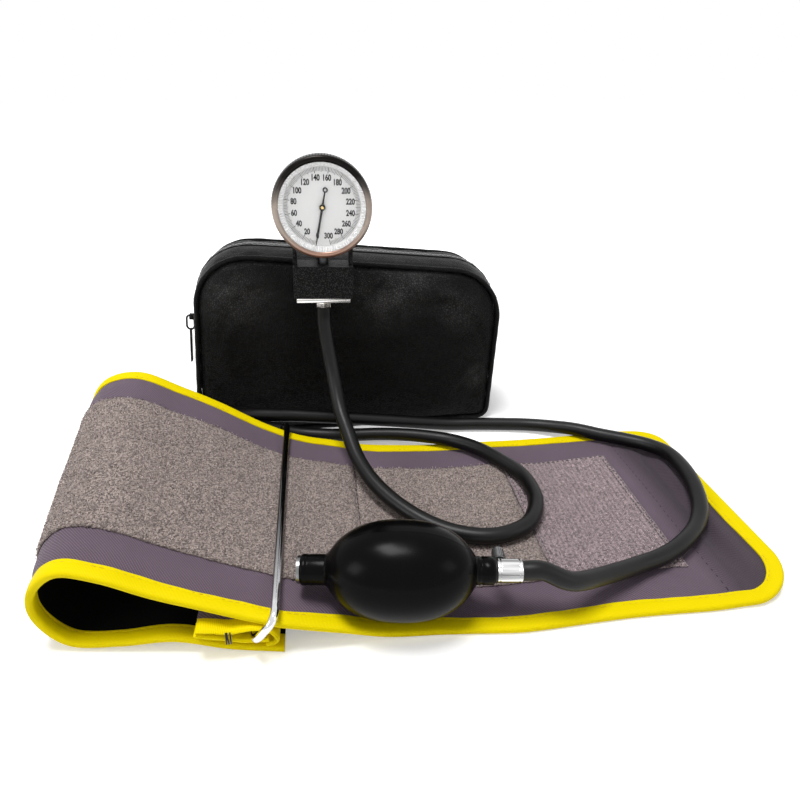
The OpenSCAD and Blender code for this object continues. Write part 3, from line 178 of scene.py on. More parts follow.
def tube(path, radius, sides, closed=False):
    """A round tube along points, with flat ends unless closed; radius is one number or one for each point."""
    path = np.asarray(path, float)
    n = len(path)
    if closed:
        along = unit(np.roll(path, -1, 0) - np.roll(path, 1, 0))
    else:
        along = unit(np.vstack([path[1:2] - path[:1], path[2:] - path[:-2], path[-1:] - path[-2:-1]]))
    side = unit(np.cross(along[0], [0.31, 0.86, 0.4]))
    first = []
    for way in along:
        side = unit(side - (side @ way) * way)
        first.append(side)
    first = np.array(first)
    second = np.cross(along, first)
    a = (np.arange(sides) * TURN / sides)[None, :, None]
    r = np.broadcast_to(np.asarray(radius, float), (n,))[:, None, None]
    points = path[:, None] + r * (np.cos(a) * first[:, None] + np.sin(a) * second[:, None])
    return points.reshape(-1, 3), net(n, sides, closed, True) + ([] if closed else lids(n, sides))


def spin(profile, segments, ripple=None, closed=False):
    """A turned form from (height, radius) pairs about the local Z axis; ripple adds to the radius by angle."""
    profile = np.asarray(profile, float)
    a = np.arange(segments) * TURN / segments
    r = profile[:, 1:] + (ripple(a, profile) if ripple else 0 * a)
    points = pts(r * np.cos(a), r * np.sin(a), profile[:, :1])
    return points.reshape(-1, 3), net(len(profile), segments, closed, True)


def ripple(size, count, chosen):
    """Waves round a turned form, on the part of its profile that chosen picks by height and radius."""
    return lambda a, profile: size * np.cos(a * count) * chosen(*profile.T)[:, None]


def joined(forms):
    """Several forms as one."""
    starts = np.cumsum([0] + [len(points) for points, _ in forms]).tolist()
    faces = [[i + start for i in face] for start, form in zip(starts, forms) for face in form[1]]
    return np.vstack([points for points, _ in forms]), faces


def block(size, bevel):
    """A box with cut edges, centred on the origin."""
    x, y, z = (s / 2 for s in size)
    form = bmesh.new()
    for sx, sy, sz in ((a, b, c) for a in (-1, 1) for b in (-1, 1) for c in (-1, 1)):
        for bx, by, bz in ((0, bevel, bevel), (bevel, 0, bevel), (bevel, bevel, 0)):
            form.verts.new((sx * (x - bx), sy * (y - by), sz * (z - bz)))
    bmesh.ops.convex_hull(form, input=form.verts)
    form.verts.index_update()
    points, faces = np.array([v.co[:] for v in form.verts]), [[v.index for v in f.verts] for f in form.faces]
    form.free()
    return points, faces


def placed(origin, x, y, z):
    """Axes as a matrix whose columns are x, y, z and the origin."""
    return np.column_stack([x, y, z, origin]).astype(float)


def moved(form, axes):
    return np.asarray(form[0], float) @ axes[:, :3].T + axes[:, 3], form[1]


def at(axes, *point):
    return axes[:, :3] @ np.array(point, float) + axes[:, 3]


# ---------- Materials ----------

class Nodes:
    """A node tree with short ways to add to it; an input is a number, a colour or another node's output."""

    def __init__(self, tree):
        self.tree = tree

    def feed(self, socket, value):
        if isinstance(value, bpy.types.NodeSocket):
            self.tree.links.new(value, socket)
        else:
            socket.default_value = (*value, 1) if socket.type == "RGBA" else value

    def add(self, kind, inputs=(), **settings):
        """A node's outputs, once its settings and inputs are given."""
        node = self.tree.nodes.new("ShaderNode" + kind)
        for key, value in settings.items():
            setattr(node, key, value)
        for key, value in dict(inputs).items():
            self.feed(node.inputs[key], value)
        return node.outputs

    def calc(self, operation, a, b=0.0, c=0.0, clamp=False):
        return self.add("Math", {0: a, 1: b, 2: c}, operation=operation, use_clamp=clamp)[0]

    def between(self, value, low, span):
        """0 up to low, 1 from low + span, and straight from one to the other."""
        return self.calc("DIVIDE", self.calc("SUBTRACT", value, low), span, clamp=True)

    def blend(self, factor, a, b):
        return self.add("Mix", {0: factor, 6: a, 7: b}, data_type="RGBA")[2]

    def noise(self, place, scale, detail, roughness=0.5):
        return self.add("TexNoise", {"Vector": place, "Scale": scale, "Detail": detail, "Roughness": roughness})

    def axis(self, place, number):
        return self.add("SeparateXYZ", {0: place})[number]

    def distance(self, place, spot):
        return self.add("VectorMath", {0: place, 1: spot}, operation="DISTANCE")["Value"]

    def seen(self):
        """1 where the camera, a shiny surface or clear glass looks straight at a surface, otherwise 0."""
        path = self.add("LightPath")
        through = self.calc("MAXIMUM", path["Is Glossy Ray"], path["Is Transmission Ray"])
        return self.calc("MAXIMUM", path["Is Camera Ray"], through)


def group(name, inputs, outputs):
    """Makes a shared pattern of a function that takes the group's nodes and inputs and returns its outputs."""
    def built(build):
        tree = bpy.data.node_groups.new(name, "ShaderNodeTree")
        for way, labels in (("INPUT", ["Place", *inputs]), ("OUTPUT", outputs)):
            for label in labels:
                kind = "NodeSocketVector" if label == "Place" else "NodeSocketFloat"
                tree.interface.new_socket(label, in_out=way, socket_type=kind)
        entry, leave = tree.nodes.new("NodeGroupInput"), tree.nodes.new("NodeGroupOutput")
        for label, socket in zip(outputs, build(Nodes(tree), *(entry.outputs[k] for k in ["Place", *inputs]))):
            tree.links.new(socket, leave.inputs[label])
        return tree
    return built


@group("twill weave", ["Pitch", "Climb"], ["Height"])
def weave_group(n, place, pitch, climb):
    """Diagonal twill: ribs that climb across fine cross threads."""
    x, y = (n.calc("DIVIDE", n.axis(place, k), pitch) for k in (0, 1))
    rib = n.calc("MULTIPLY_ADD", n.noise(place, 90.0, 2.0)[0], 1.3, n.calc("MULTIPLY_ADD", y, climb, x))
    ribs = n.calc("SINE", n.calc("MULTIPLY", rib, TURN))
    threads = n.calc("SINE", n.calc("MULTIPLY", y, 2 * TURN))
    return [n.calc("MULTIPLY_ADD", threads, 0.12, n.calc("MULTIPLY_ADD", ribs, 0.36, 0.5))]


@group("leather grain", ["Scale"], ["Height", "Crease"])
def grain_group(n, place, scale):
    """Leathercloth grain: small uneven cells with creases between them."""
    warp = n.noise(place, n.calc("MULTIPLY", scale, 0.35), 3.0)["Color"]
    shift = n.add("VectorMath", {0: warp, 1: (0.0012, 0.0012, 0.0012)}, operation="MULTIPLY")[0]
    shifted = n.add("VectorMath", {0: shift, 1: place}, operation="ADD")[0]
    edge = n.add("TexVoronoi", {"Vector": shifted, "Scale": scale}, feature="DISTANCE_TO_EDGE")[0]
    crease = n.calc("MULTIPLY", edge, 2.6, clamp=True)
    fine = n.noise(place, n.calc("MULTIPLY", scale, 3.0), 3.0)[0]
    return n.calc("MULTIPLY_ADD", fine, 0.35, crease), crease


@group("soft patches", ["Scale", "Spread"], ["Mask"])
def patch_group(n, place, scale, spread):
    """Large soft patches: 0 to 1, for handling marks, dust and uneven dye, and for painted uneven shade and painted
    highlights.
    """
    low = n.calc("SUBTRACT", 0.5, n.calc("MULTIPLY", spread, 0.5))
    return [n.between(n.noise(place, scale, 5.0, 0.62)[0], low, spread)]


@group("specks", ["Scale"], ["Speck", "Height"])
def speck_group(n, place, scale):
    """Fine random specks from light to dark, such as brushed loops or crackle paint."""
    cells = n.add("TexVoronoi", {"Vector": place, "Scale": scale})
    dome = n.calc("SUBTRACT", 1.0, n.calc("MULTIPLY", cells["Distance"], 1.2), clamp=True)
    return n.add("SeparateColor", {0: cells["Color"]})[0], dome


class Finish(Nodes):
    """A material; its patterns lie on the place kept on the points where on_place is set, or else on the piece."""

    def __init__(self, name, on_place=False, **plain):
        self.material = bpy.data.materials.new(name)
        self.material.use_nodes = True
        super().__init__(self.material.node_tree)
        self.shader = self.tree.nodes["Principled BSDF"]
        for key, value in plain.items():
            self.set(key.replace("_", " "), value)
        if on_place:
            self.place = self.add("Attribute", attribute_name="place")["Vector"]
        else:
            self.place = self.add("TexCoord")["Object"]

    def set(self, key, value):
        self.feed(self.shader.inputs[key], value)

    def use(self, shared, **values):
        return self.add("Group", {"Place": self.place, **values}, node_tree=shared)

    def weave(self, pitch, climb):
        return self.use(weave_group, Pitch=pitch, Climb=climb)["Height"]

    def patches(self, scale, spread):
        return self.use(patch_group, Scale=scale, Spread=spread)["Mask"]

    def colour(self, a, b, mask, amount=1.0):
        """The base colour: a, and towards b by amount where the mask is 1."""
        self.set("Base Color", self.blend(self.calc("MULTIPLY", mask, amount), a, b))

    def roughness(self, low, spread, mask):
        self.set("Roughness", self.calc("MULTIPLY_ADD", mask, spread, low))

    def bump(self, height, strength, distance):
        inputs = {"Height": height, "Strength": strength, "Distance": distance}
        self.set("Normal", self.add("Bump", inputs)[0])


def dark(colour, by):
    return tuple(c * by for c in colour)


TWILL = (0.158, 0.113, 0.152)
YELLOW = (0.93, 0.755, 0.0)
PILE = (0.30, 0.245, 0.225)
HOOK = (0.5, 0.395, 0.415)
RUBBER_BLACK = (0.001, 0.001, 0.0011)
VINYL_BLACK = (0.0008, 0.0008, 0.0009)
HIGHLIGHT_Y = 0.105  # the pouch's front, where the painted highlights lie
END_SHADE, END_SHADE_SPAN = 0.442, 0.012  # where the painted shade on the cuff's free end begins, in metres along the cuff
BEZEL_LOW, BEZEL_HIGH = 0.1225, 0.1751  # the heights that the bezel's painted reflection runs between, in metres
RING_BRIGHT_Y, RING_SHADE_SPAN = -0.066, 0.05  # where the ring's plate starts to be painted darker towards the back, as a shaded reflection


def twill_finish():
    f = Finish("cuff twill", True, Roughness=0.82, Sheen_Weight=0.08, Sheen_Roughness=0.5, Specular_IOR_Level=0.3)
    weave = f.weave(0.0014, 1.0)
    thread = f.blend(weave, dark(TWILL, 0.42), dark(TWILL, 1.38))
    # past the crease the cloth is painted darker, as shade over the free end
    free_end_shade = f.between(f.axis(f.place, 0), END_SHADE, END_SHADE_SPAN)
    thread = f.blend(f.calc("MULTIPLY", free_end_shade, 0.74), thread, dark(TWILL, 0.1))
    # soft patches that darken the cloth at random, painted as uneven shade
    f.colour(thread, dark(TWILL, 0.5), f.patches(26.0, 0.7), 0.55)
    f.bump(weave, 0.8, 0.0003)
    return f


def lining_finish():
    f = Finish("black lining", True, Roughness=0.75, Specular_IOR_Level=0.06)
    f.colour((0.0012, 0.0012, 0.0014), (0.003, 0.0029, 0.003), f.patches(30.0, 0.7))
    f.bump(f.weave(0.0006, 0.0), 0.3, 0.00015)
    return f


def binding_finish():
    f = Finish("yellow tape", True, Specular_IOR_Level=0.06)
    ribs, mask = f.weave(0.00055, 0.15), f.patches(40.0, 0.8)
    f.colour(f.blend(ribs, dark(YELLOW, 0.8), YELLOW), (0.84, 0.58, 0.0), mask, 0.22)
    f.roughness(0.52, 0.14, mask)
    f.bump(ribs, 0.3, 0.00015)
    return f


def pile_finish(name, base):
    f = Finish(name, Roughness=0.95, Sheen_Weight=0.1, Sheen_Roughness=0.6, Specular_IOR_Level=0.2)
    specks = f.use(speck_group, Scale=1500.0)
    shade = f.blend(specks["Speck"], dark(base, 0.3), dark(base, 1.5))
    f.colour(shade, dark(base, 0.8), f.patches(45.0, 0.8), 0.25)
    f.bump(specks["Height"], 0.8, 0.0004)
    return f


def tinted_finish(name, low, high, rough):
    """Fibres and threads, each with its own shade between two colours."""
    f = Finish(name, Roughness=rough, Sheen_Weight=0.1, Specular_IOR_Level=0.3)
    fine = f.patches(700.0, 0.6)
    tint = f.add("Attribute", attribute_name="tint")["Fac"]
    f.colour(f.blend(tint, low, high), low, fine, 0.2)
    f.bump(fine, 0.3, 0.0001)
    return f


def rubber_finish(name, rough, spread, shine):
    f = Finish(name, Specular_IOR_Level=shine)
    mask = f.patches(60.0, 0.6)
    f.colour(RUBBER_BLACK, (0.0028, 0.0027, 0.0026), mask, 0.5)
    f.roughness(rough, spread, mask)
    f.bump(f.use(speck_group, Scale=2600.0)["Height"], 0.05, 0.00005)
    return f


def metal_finish(name, colour, rough, brushed=0.0):
    f = Finish(name, Metallic=1.0)
    mask = f.patches(180.0, 0.6)
    f.colour(colour, dark(colour, 0.82), mask, 0.35)
    f.roughness(rough, 0.08, mask)
    f.bump(f.noise(f.place, 1500.0, 4.0)[0], 0.03 + brushed, 0.00005)
    return f


def drawn_finish(name, colour, low, turn):
    """Plated metal with fine streaks along one level way, turned from X by turn, their dark and light bands a painted
    reflection; low is how dark they go.
    """
    f = Finish(name, Metallic=1.0)
    along = f.add("Mapping", {"Vector": f.place, "Rotation": (0, 0, -turn)})[0]
    streaks = f.add("Mapping", {"Vector": along, "Scale": (12, 420, 900)})[0]
    lines = f.noise(streaks, 1.0, 3.0, 0.6)[0]
    shade = f.between(lines, 0.36, 0.26)
    # fine drawn streaks, painted dark and light as reflected bands
    f.colour(dark(colour, low), colour, shade)
    f.roughness(0.18, -0.06, shade)
    f.bump(lines, 0.12, 0.00006)
    return f


def ring_finish():
    """Plated wire, bright at the bend in front and painted dark along its bar as a shaded reflection."""
    f = Finish("ring plate", Metallic=1.0)
    # 0 at the bright bend, 1 towards the back, where the bar is painted as dark reflection
    back = f.between(f.axis(f.place, 1), RING_BRIGHT_Y, RING_SHADE_SPAN)
    mask = f.patches(180.0, 0.6)
    ring_reflection = f.blend(f.calc("POWER", back, 0.6), (0.83, 0.83, 0.85), (0.09, 0.09, 0.093))
    f.colour(ring_reflection, (0.2, 0.2, 0.21), mask, 0.3)
    f.roughness(0.06, 0.06, mask)
    return f


def bezel_finish():
    """Plated steel with a painted reflection: rose brown low down, darker towards its crown."""
    f = Finish("bezel plate", Metallic=1.0)
    # the colours by height are a painted reflection, dark at the crown
    bezel_reflection_ramp = f.tree.nodes.new("ShaderNodeValToRGB")
    stops = ((0.0, (0.4, 0.21, 0.15)), (0.1, (0.36, 0.24, 0.19)), (0.25, (0.34, 0.28, 0.24)),
             (0.55, (0.26, 0.22, 0.19)), (0.7, (0.05, 0.045, 0.043)), (0.8, (0.006, 0.006, 0.006)))
    for _ in stops[2:]:
        bezel_reflection_ramp.color_ramp.elements.new(0.5)
    for element, (place, colour) in zip(bezel_reflection_ramp.color_ramp.elements, stops):
        element.position = place
        element.color = (*colour, 1)
    f.feed(bezel_reflection_ramp.inputs[0], f.between(f.axis(f.place, 2), BEZEL_LOW, BEZEL_HIGH - BEZEL_LOW))
    mask = f.patches(120.0, 0.7)
    f.colour(bezel_reflection_ramp.outputs[0], (0.05, 0.042, 0.038), mask, 0.3)
    f.roughness(0.24, 0.12, mask)
    return f


def paint_finish():
    """Black crackle paint."""
    f = Finish("crackle paint", Specular_IOR_Level=0.12)
    specks = f.use(speck_group, Scale=2500.0)
    f.colour((0.002, 0.002, 0.002), (0.05, 0.05, 0.051), f.between(specks["Speck"], 0.62, 0.3))
    f.roughness(0.32, 0.2, f.patches(220.0, 0.5))
    f.bump(specks["Height"], 0.9, 0.00035)
    return f


def vinyl_finish(name, scale, highlight_spots=()):
    """Black leathercloth; each spot is x, z and a reach in metres where the grain is painted lighter as a highlight."""
    f = Finish(name, Specular_IOR_Level=0.1)
    grain = f.use(grain_group, Scale=scale)
    painted_highlight = 0.0
    for x, z, reach in highlight_spots:
        near = f.calc("SUBTRACT", 1.0, f.calc("DIVIDE", f.distance(f.place, (x, HIGHLIGHT_Y, z)), reach), clamp=True)
        painted_highlight = f.calc("ADD", painted_highlight, f.calc("POWER", near, 1.6), clamp=True)
    shade = f.blend(grain["Crease"], VINYL_BLACK, (0.003, 0.0029, 0.0029))
    # the grain painted lighter at the spots, as highlights
    highlight_colour = f.blend(f.calc("MULTIPLY", grain["Height"], 0.75), VINYL_BLACK, (0.17, 0.169, 0.168))
    f.colour(shade, highlight_colour, painted_highlight, f.patches(110.0, 0.6))
    f.roughness(0.26, 0.16, f.patches(24.0, 0.7))
    f.bump(grain["Height"], 0.8, 0.0004)
    return f


def tape_finish():
    f = Finish("zip tape", Roughness=0.85, Specular_IOR_Level=0.12)
    weave = f.weave(0.0007, 1.0)
    f.colour((0.002, 0.002, 0.0022), (0.01, 0.01, 0.0105), weave)
    f.bump(weave, 0.5, 0.00015)
    return f


def dial_finish():
    f = Finish("dial enamel", Roughness=0.5)
    mask = f.patches(90.0, 0.8)
    f.colour((0.75, 0.75, 0.75), (0.79, 0.79, 0.785), mask)
    f.bump(mask, 0.04, 0.0001)
    return f


def ink_finish(name, colour, rough=0.55):
    f = Finish(name, Roughness=rough)
    f.colour(colour, dark(colour, 1.5), f.patches(900.0, 0.6), 0.25)
    return f


def glass_finish():
    """Clear crystal: see-through from the front, with a sheen where it turns away."""
    f = Finish("crystal", Base_Color=(1, 1, 1), Roughness=0.03, Transmission_Weight=1.0, IOR=1.12)
    f.bump(f.patches(60.0, 0.8), 0.01, 0.00005)
    return f


BULB_TURN = math.radians(-8)  # how far the bulb set's level axis turns from X
TWILL_CLOTH = twill_finish()
LINING = lining_finish()
TAPE = binding_finish()
PILE_BASE = pile_finish("brushed pile", PILE)
# each fibre's shade differs at random, and the brightest stand in for painted glints
PILE_FIBRE = tinted_finish("pile fibre", dark(PILE, 0.35), dark(PILE, 3.2), 0.9)
HOOK_BASE = pile_finish("hook tape", dark(HOOK, 0.55))
HOOK_FIBRE = tinted_finish("hook bristle", dark(HOOK, 1.4), dark(HOOK, 3.0), 0.6)
DARK_THREAD = tinted_finish("dark thread", (0.008, 0.007, 0.01), (0.03, 0.025, 0.035), 0.8)
YELLOW_THREAD = tinted_finish("yellow thread", (0.62, 0.42, 0.003), (0.9, 0.68, 0.01), 0.7)
BULB_RUBBER = rubber_finish("bulb rubber", 0.2, 0.07, 0.06)
HOSE_RUBBER = rubber_finish("hose rubber", 0.34, 0.14, 0.26)
SLEEVE_CHROME = drawn_finish("drawn tube", (0.92, 0.92, 0.92), 0.16, BULB_TURN)
PLATE_CHROME = drawn_finish("bracket plate metal", (0.88, 0.86, 0.83), 0.12, 0.0)
RING_CHROME = ring_finish()
DARK_STEEL = metal_finish("dark steel", (0.22, 0.22, 0.225), 0.25, brushed=0.1)
STEEL = metal_finish("steel", (0.5, 0.5, 0.51), 0.3, brushed=0.1)
BRASS = metal_finish("turned brass", (0.68, 0.49, 0.2), 0.25)
BLACK_METAL = metal_finish("blackened metal", (0.055, 0.055, 0.058), 0.3)
BEZEL = bezel_finish()
PAINT = paint_finish()
VINYL = vinyl_finish("pouch leathercloth", 950.0)
# painted highlights on the front panel, each at x, z with its reach
PANEL_VINYL = vinyl_finish("pouch panel leathercloth", 800.0, [
    (-0.076, 0.09, 0.03), (-0.052, 0.1, 0.028), (-0.027, 0.08, 0.02), (-0.162, 0.095, 0.03),
    (-0.013, 0.034, 0.012), (-0.1, 0.113, 0.03)])
PIPING_VINYL = vinyl_finish("piping leathercloth", 1300.0)
ZIP_TAPE = tape_finish()
DIAL = dial_finish()
WHITE_RING = ink_finish("white ring", (0.9, 0.9, 0.9), 0.3)
INK = ink_finish("dial ink", (0.003, 0.003, 0.003))
GREY_INK = ink_finish("fine dial ink", (0.05, 0.05, 0.052))
TEETH = ink_finish("zip nylon", (0.03, 0.03, 0.031), 0.25)
POINTER = ink_finish("pointer paint", (0.003, 0.003, 0.003), 0.4)
GLASS = glass_finish()


# ---------- Hoses ----------

HOSE_D, HOSE_STRAIGHT, HOSE_FINENESS = 8.3, 9, 7
GAUGE_LEAN = math.radians(2.5)  # clockwise, seen from the front
GAUGE_AXES = placed((-108, 85, 148.6), (math.cos(GAUGE_LEAN), 0, -math.sin(GAUGE_LEAN)),
                    (math.sin(GAUGE_LEAN), 0, math.cos(GAUGE_LEAN)), (0, -1, 0))
BULB_AXES = placed((-85, -58, 27.0), (0, 0, 1), (math.sin(BULB_TURN), -math.cos(BULB_TURN), 0),
                   (math.cos(BULB_TURN), math.sin(BULB_TURN), 0))
NOZZLE_LOW, STEM_Z, SLEEVE_END = -57.4, -8.5, 50.5  # in the gauge's axes and the bulb's: where the hoses start
# Each port of the bladder: where the hose ends, and the way out of it
GAUGE_PORT = np.array([(-171.3, 72.4, 24.2), (0.6616, 0.7167, -0.2205)])
BULB_PORT = np.array([(-186.6, 73.7, 32.2), (0.742, 0.636, -0.212)])
GAUGE_HOSE = [
    (-110, 91, 70), (-107.5, 83, 52), (-105, 69, 37), (-101, 53, 28), (-97, 37, 21.5),
    (-90, 20, 17), (-81, 6, 14), (-70.5, -6, 12), (-59, -15, 10.5), (-47, -21, 10),
    (-35, -23.5, 10), (-23, -21.5, 10), (-13, -15, 10), (-6, -3, 10), (-3.5, 9, 10), (-5, 25, 10),
    (-13, 41, 9.9), (-23, 56, 9.3), (-36, 68, 8.5), (-51, 75, 8.3), (-66, 80, 8), (-81, 83.5, 7.4),
    (-97, 84.5, 7.5), (-113, 85.5, 8.1), (-130, 87, 9.8), (-144, 87, 13.8), (-156, 83.8, 18.8)]
BULB_HOSE = [
    (-13, -68, 21), (7, -60, 14.5), (27, -52, 10.4), (42, -47, 9.6), (56, -39.5, 9.5),
    (70, -28, 9.2), (80, -13.5, 10.6), (86.4, 7, 12), (88, 30, 11.6), (82.6, 44, 10),
    (71.6, 54.6, 8.8), (59, 62.6, 8.4), (46, 72, 7.9), (33, 80.6, 6), (19, 86.8, 4.8),
    (2, 90.5, 4.4), (-15, 93, 4.4), (-35, 94.8, 4.8), (-63, 95.3, 8.6), (-98, 95, 13.8),
    (-130, 94, 18.8), (-145, 92.2, 21.2), (-160.5, 89.6, 24.2), (-171, 85, 28.2)]


def hose(name, node, start, start_way, route, port, port_way, length):
    """A hose on its route, straight at both ends, as a curve with a round bevel."""
    points = [start, start + HOSE_STRAIGHT * start_way, *route, port + HOSE_STRAIGHT * port_way, port]
    last = len(points) - 1
    line = curve(points, np.linspace(0, last, HOSE_FINENESS * last + 1)) * MM
    data = bpy.data.curves.new(name, "CURVE")
    data.dimensions = "3D"
    data.bevel_depth, data.bevel_resolution, data.use_fill_caps = HOSE_D / 2 * MM, 8, True
    spline = data.splines.new("POLY")
    spline.points.add(len(line) - 1)
    spline.points.foreach_set("co", np.hstack([line, np.ones((len(line), 1))]).ravel())
    data.materials.append(HOSE_RUBBER.material)
    piece = linked(name, data)
    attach(piece, "root")
    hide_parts(node)


hose("gauge_hose_rubber", "gauge_hose", at(GAUGE_AXES, 0, NOZZLE_LOW, STEM_Z), -GAUGE_AXES[:, 1], GAUGE_HOSE,
     *GAUGE_PORT, 0.457)
hose("bulb_hose_rubber", "bulb_hose", at(BULB_AXES, 0, 0, SLEEVE_END), BULB_AXES[:, 2], BULB_HOSE, *BULB_PORT, 0.487)


# ---------- The cuff's surface: u runs along the cuff, w across it and n out of it ----------

CUFF_WIDTH, CUFF_THICK, EDGE_THICK, TIP_RADIUS = 145, 3.6, 1.6, 24
BINDING_WIDTH, BINDING_THICK, PAD_SLOPE, SEAT = 6.5, 0.7, 6, 0.3
PATCH_WIDTH, PILE_LENGTH, PILE_THICK = 94, 272, 1.6
HOOK_LENGTH, HOOK_FROM_TIP, HOOK_THICK = 65, 43, 1.2
# Front edge x and rise, back edge x and rise, from the hem to the free end
CUFF_STATIONS = np.array([
    (-135, 0, -135, 0), (-157, 1.4, -159, 0), (-179, 5.4, -185, 0), (-202, 2.4, -211, 0.2),
    (-222, 2.5, -235, 1.4), (-232, 15, -248, 15), (-231, 29, -249, 35), (-219, 40, -238, 51),
    (-203, 37.5, -218, 55.5), (-184, 29.4, -196, 46), (-165, 23.2, -175, 35.5),
    (-147, 17.4, -151, 21.6), (-129, 12.2, -129, 12.4), (-110, 7, -110, 7.5), (-90, 1.8, -90, 2.6),
    (-65, 0.2, -65, 0.4), (-40, 0, -40, 0), (-15, 0, -15, 0), (10, 0, 10, 0), (35, 0, 35, 0),
    (60, 0.2, 60, 0.2), (80, 1.2, 80, 1.2), (96, 5.5, 96, 5.5)], float)
FLAT_FROM = 12  # the first station of the part that lies on the floor
FRONT_Y = 2 - CUFF_WIDTH / 2
BACK_Y = FRONT_Y + CUFF_WIDTH
steps = (np.linalg.norm(np.diff(CUFF_STATIONS[:, :2], axis=0), axis=1)
         + np.linalg.norm(np.diff(CUFF_STATIONS[:, 2:], axis=0), axis=1)) / 2
PLACES = np.concatenate([[0], np.cumsum(steps)])
CUFF_LENGTH = PLACES[-1]
HOOK_END = CUFF_LENGTH - HOOK_FROM_TIP
HOOK_START = HOOK_END - HOOK_LENGTH
PILE_END = HOOK_START - SEAT
PILE_START = PILE_END - PILE_LENGTH
PATCH_FRONT = (CUFF_WIDTH - PATCH_WIDTH) / 2 - 2
PATCH_BACK = PATCH_FRONT + PATCH_WIDTH
PATCH_LEVEL = CUFF_THICK / 2 + SEAT / 2
# The seams across the cuff and its main crease, as places along it
STITCH_LEFT, STITCH_RIGHT, CREASE = np.interp((-99, 64, 78), CUFF_STATIONS[FLAT_FROM:, 0], PLACES[FLAT_FROM:])


def cuff_middle(u, w):
    s = curve(CUFF_STATIONS, np.interp(u, PLACES, np.arange(len(PLACES))))
    t = w / CUFF_WIDTH
    x = s[..., 0] * (1 - t) + s[..., 2] * t
    z = s[..., 1] * (1 - t) + s[..., 3] * t + CUFF_THICK / 2
    shear = 0.14 * np.maximum(0, -135 - x)
    shift = -2.8 * smooth((x + 80) / 50)
    sway = 0.7 * np.sin(x / 17 + 0.6) * smooth((x + 60) / 30) * smooth((70 - x) / 20) * (1 - 2 * t)
    return pts(x, FRONT_Y + w + shear + shift + sway, z)


def cuff_normal(u, w):
    return unit(np.cross(cuff_middle(u + 0.5, w) - cuff_middle(u - 0.5, w),
                         cuff_middle(u, w + 0.5) - cuff_middle(u, w - 0.5)))


def cuff_at(u, w, n):
    return cuff_middle(u, w) + np.asarray(n)[..., None] * cuff_normal(u, w)


def on_cuff(u, w, n):
    """A line's points and the cloth's way out at each."""
    u, w = np.broadcast_arrays(np.asarray(u, float), np.asarray(w, float))
    return cuff_at(u, w, np.broadcast_to(n, u.shape)), cuff_normal(u, w)


def edge_distance(u, w):
    a, b = CUFF_LENGTH - u, np.minimum(w, CUFF_WIDTH - w)
    corner = TIP_RADIUS - np.hypot(TIP_RADIUS - a, TIP_RADIUS - b)
    return np.where((a < TIP_RADIUS) & (b < TIP_RADIUS), corner, np.minimum(a, b))


# How deep the seams sink, the crease sinks and the cloth beside it rises, and the pitch of puckers and tucks
LEFT_SINK, RIGHT_SINK, CREASE_SINK, CREASE_RISE, PUCKER_PITCH, TUCK_PITCH = 0.55, 0.6, 2.0, 1.3, 6.3, 4.6


def relief(u, w):
    """How the padded cloth rises and sinks: seam valleys, creases, soft waves, puckers and tucks at the binding."""
    d = edge_distance(u, w)
    slant = u - CREASE - (w - 70) * 0.05
    rise = -LEFT_SINK * hill(u - STITCH_LEFT, 1.6) - RIGHT_SINK * hill(u - STITCH_RIGHT, 1.4)
    rise = rise - CREASE_SINK * hill(slant, 3.4) * smooth((w - 18) / 20) * smooth((140 - w) / 25)
    rise = rise + 0.5 * hill(slant + 7, 3.5) + CREASE_RISE * hill(slant - 7.5, 4.0)
    rise = rise + waves(u, w, 3, 46, 0.42) + waves(u, w, 5, 17, 0.12)
    pucker = 0.13 * np.sin(TURN * u / PUCKER_PITCH + waves(u, w, 8, 40, 2.0)) * np.exp(-np.abs(d - 8.5) / 3.5)
    tucks = 0.22 * np.sin(TURN * (u + 0.5 * w) / TUCK_PITCH) * hill(u - 214, 16) * hill(w - 128, 9)
    return rise * smooth((d - BINDING_WIDTH) / 8) + pucker * smooth((d - 5.5) / 2) + tucks


def swell(u, w, thin, full):
    """A thickness that grows from thin at the bound edge to full over the pad."""
    return thin + (full - thin) * smooth((edge_distance(u, w) - BINDING_WIDTH + 1) / (PAD_SLOPE + 2))


def cloth_net():
    """Places along and across the whole cuff, row by row, drawn in at its round corners."""
    far = CUFF_LENGTH - TIP_RADIUS
    rows = np.concatenate([np.arange(0, far, 2.0)[:-1], far + TIP_RADIUS * np.sin(np.radians(np.arange(0, 90.1, 6)))])
    inset = TIP_RADIUS - np.sqrt(np.maximum(0, TIP_RADIUS ** 2 - np.maximum(0, rows - far) ** 2))
    w = inset[:, None] + (CUFF_WIDTH - 2 * inset)[:, None] * np.linspace(0, 1, 73)
    return np.broadcast_to(rows[:, None], w.shape), w


def cuff_cloth(name, side, finish, node):
    """One of the cuff's two cloths: side is 1 for the twill on top and -1 for the lining below."""
    u, w = cloth_net()
    lift = relief(u, w) * (1 if side > 0 else 0.25)
    outer = side * (swell(u, w, EDGE_THICK / 2, CUFF_THICK / 2) + lift)
    inner = side * (swell(u, w, 0.2, 1.0) + 0.8 * lift)
    top, low = (outer, inner) if side > 0 else (inner, np.maximum(outer, -CUFF_THICK / 2))
    place = np.tile(pts(u, w, 0).reshape(-1, 3), (2, 1))
    piece = make(name, shell(cuff_at(u, w, top), cuff_at(u, w, low)), finish, [node], place=place)


cuff_cloth("cuff_twill", 1, TWILL_CLOTH, "cuff_outer_cloth")
cuff_cloth("cuff_lining_cloth", -1, LINING, "cuff_lining")


# ---------- Binding, stitches and patches ----------

EDGE_STEP = 2.2


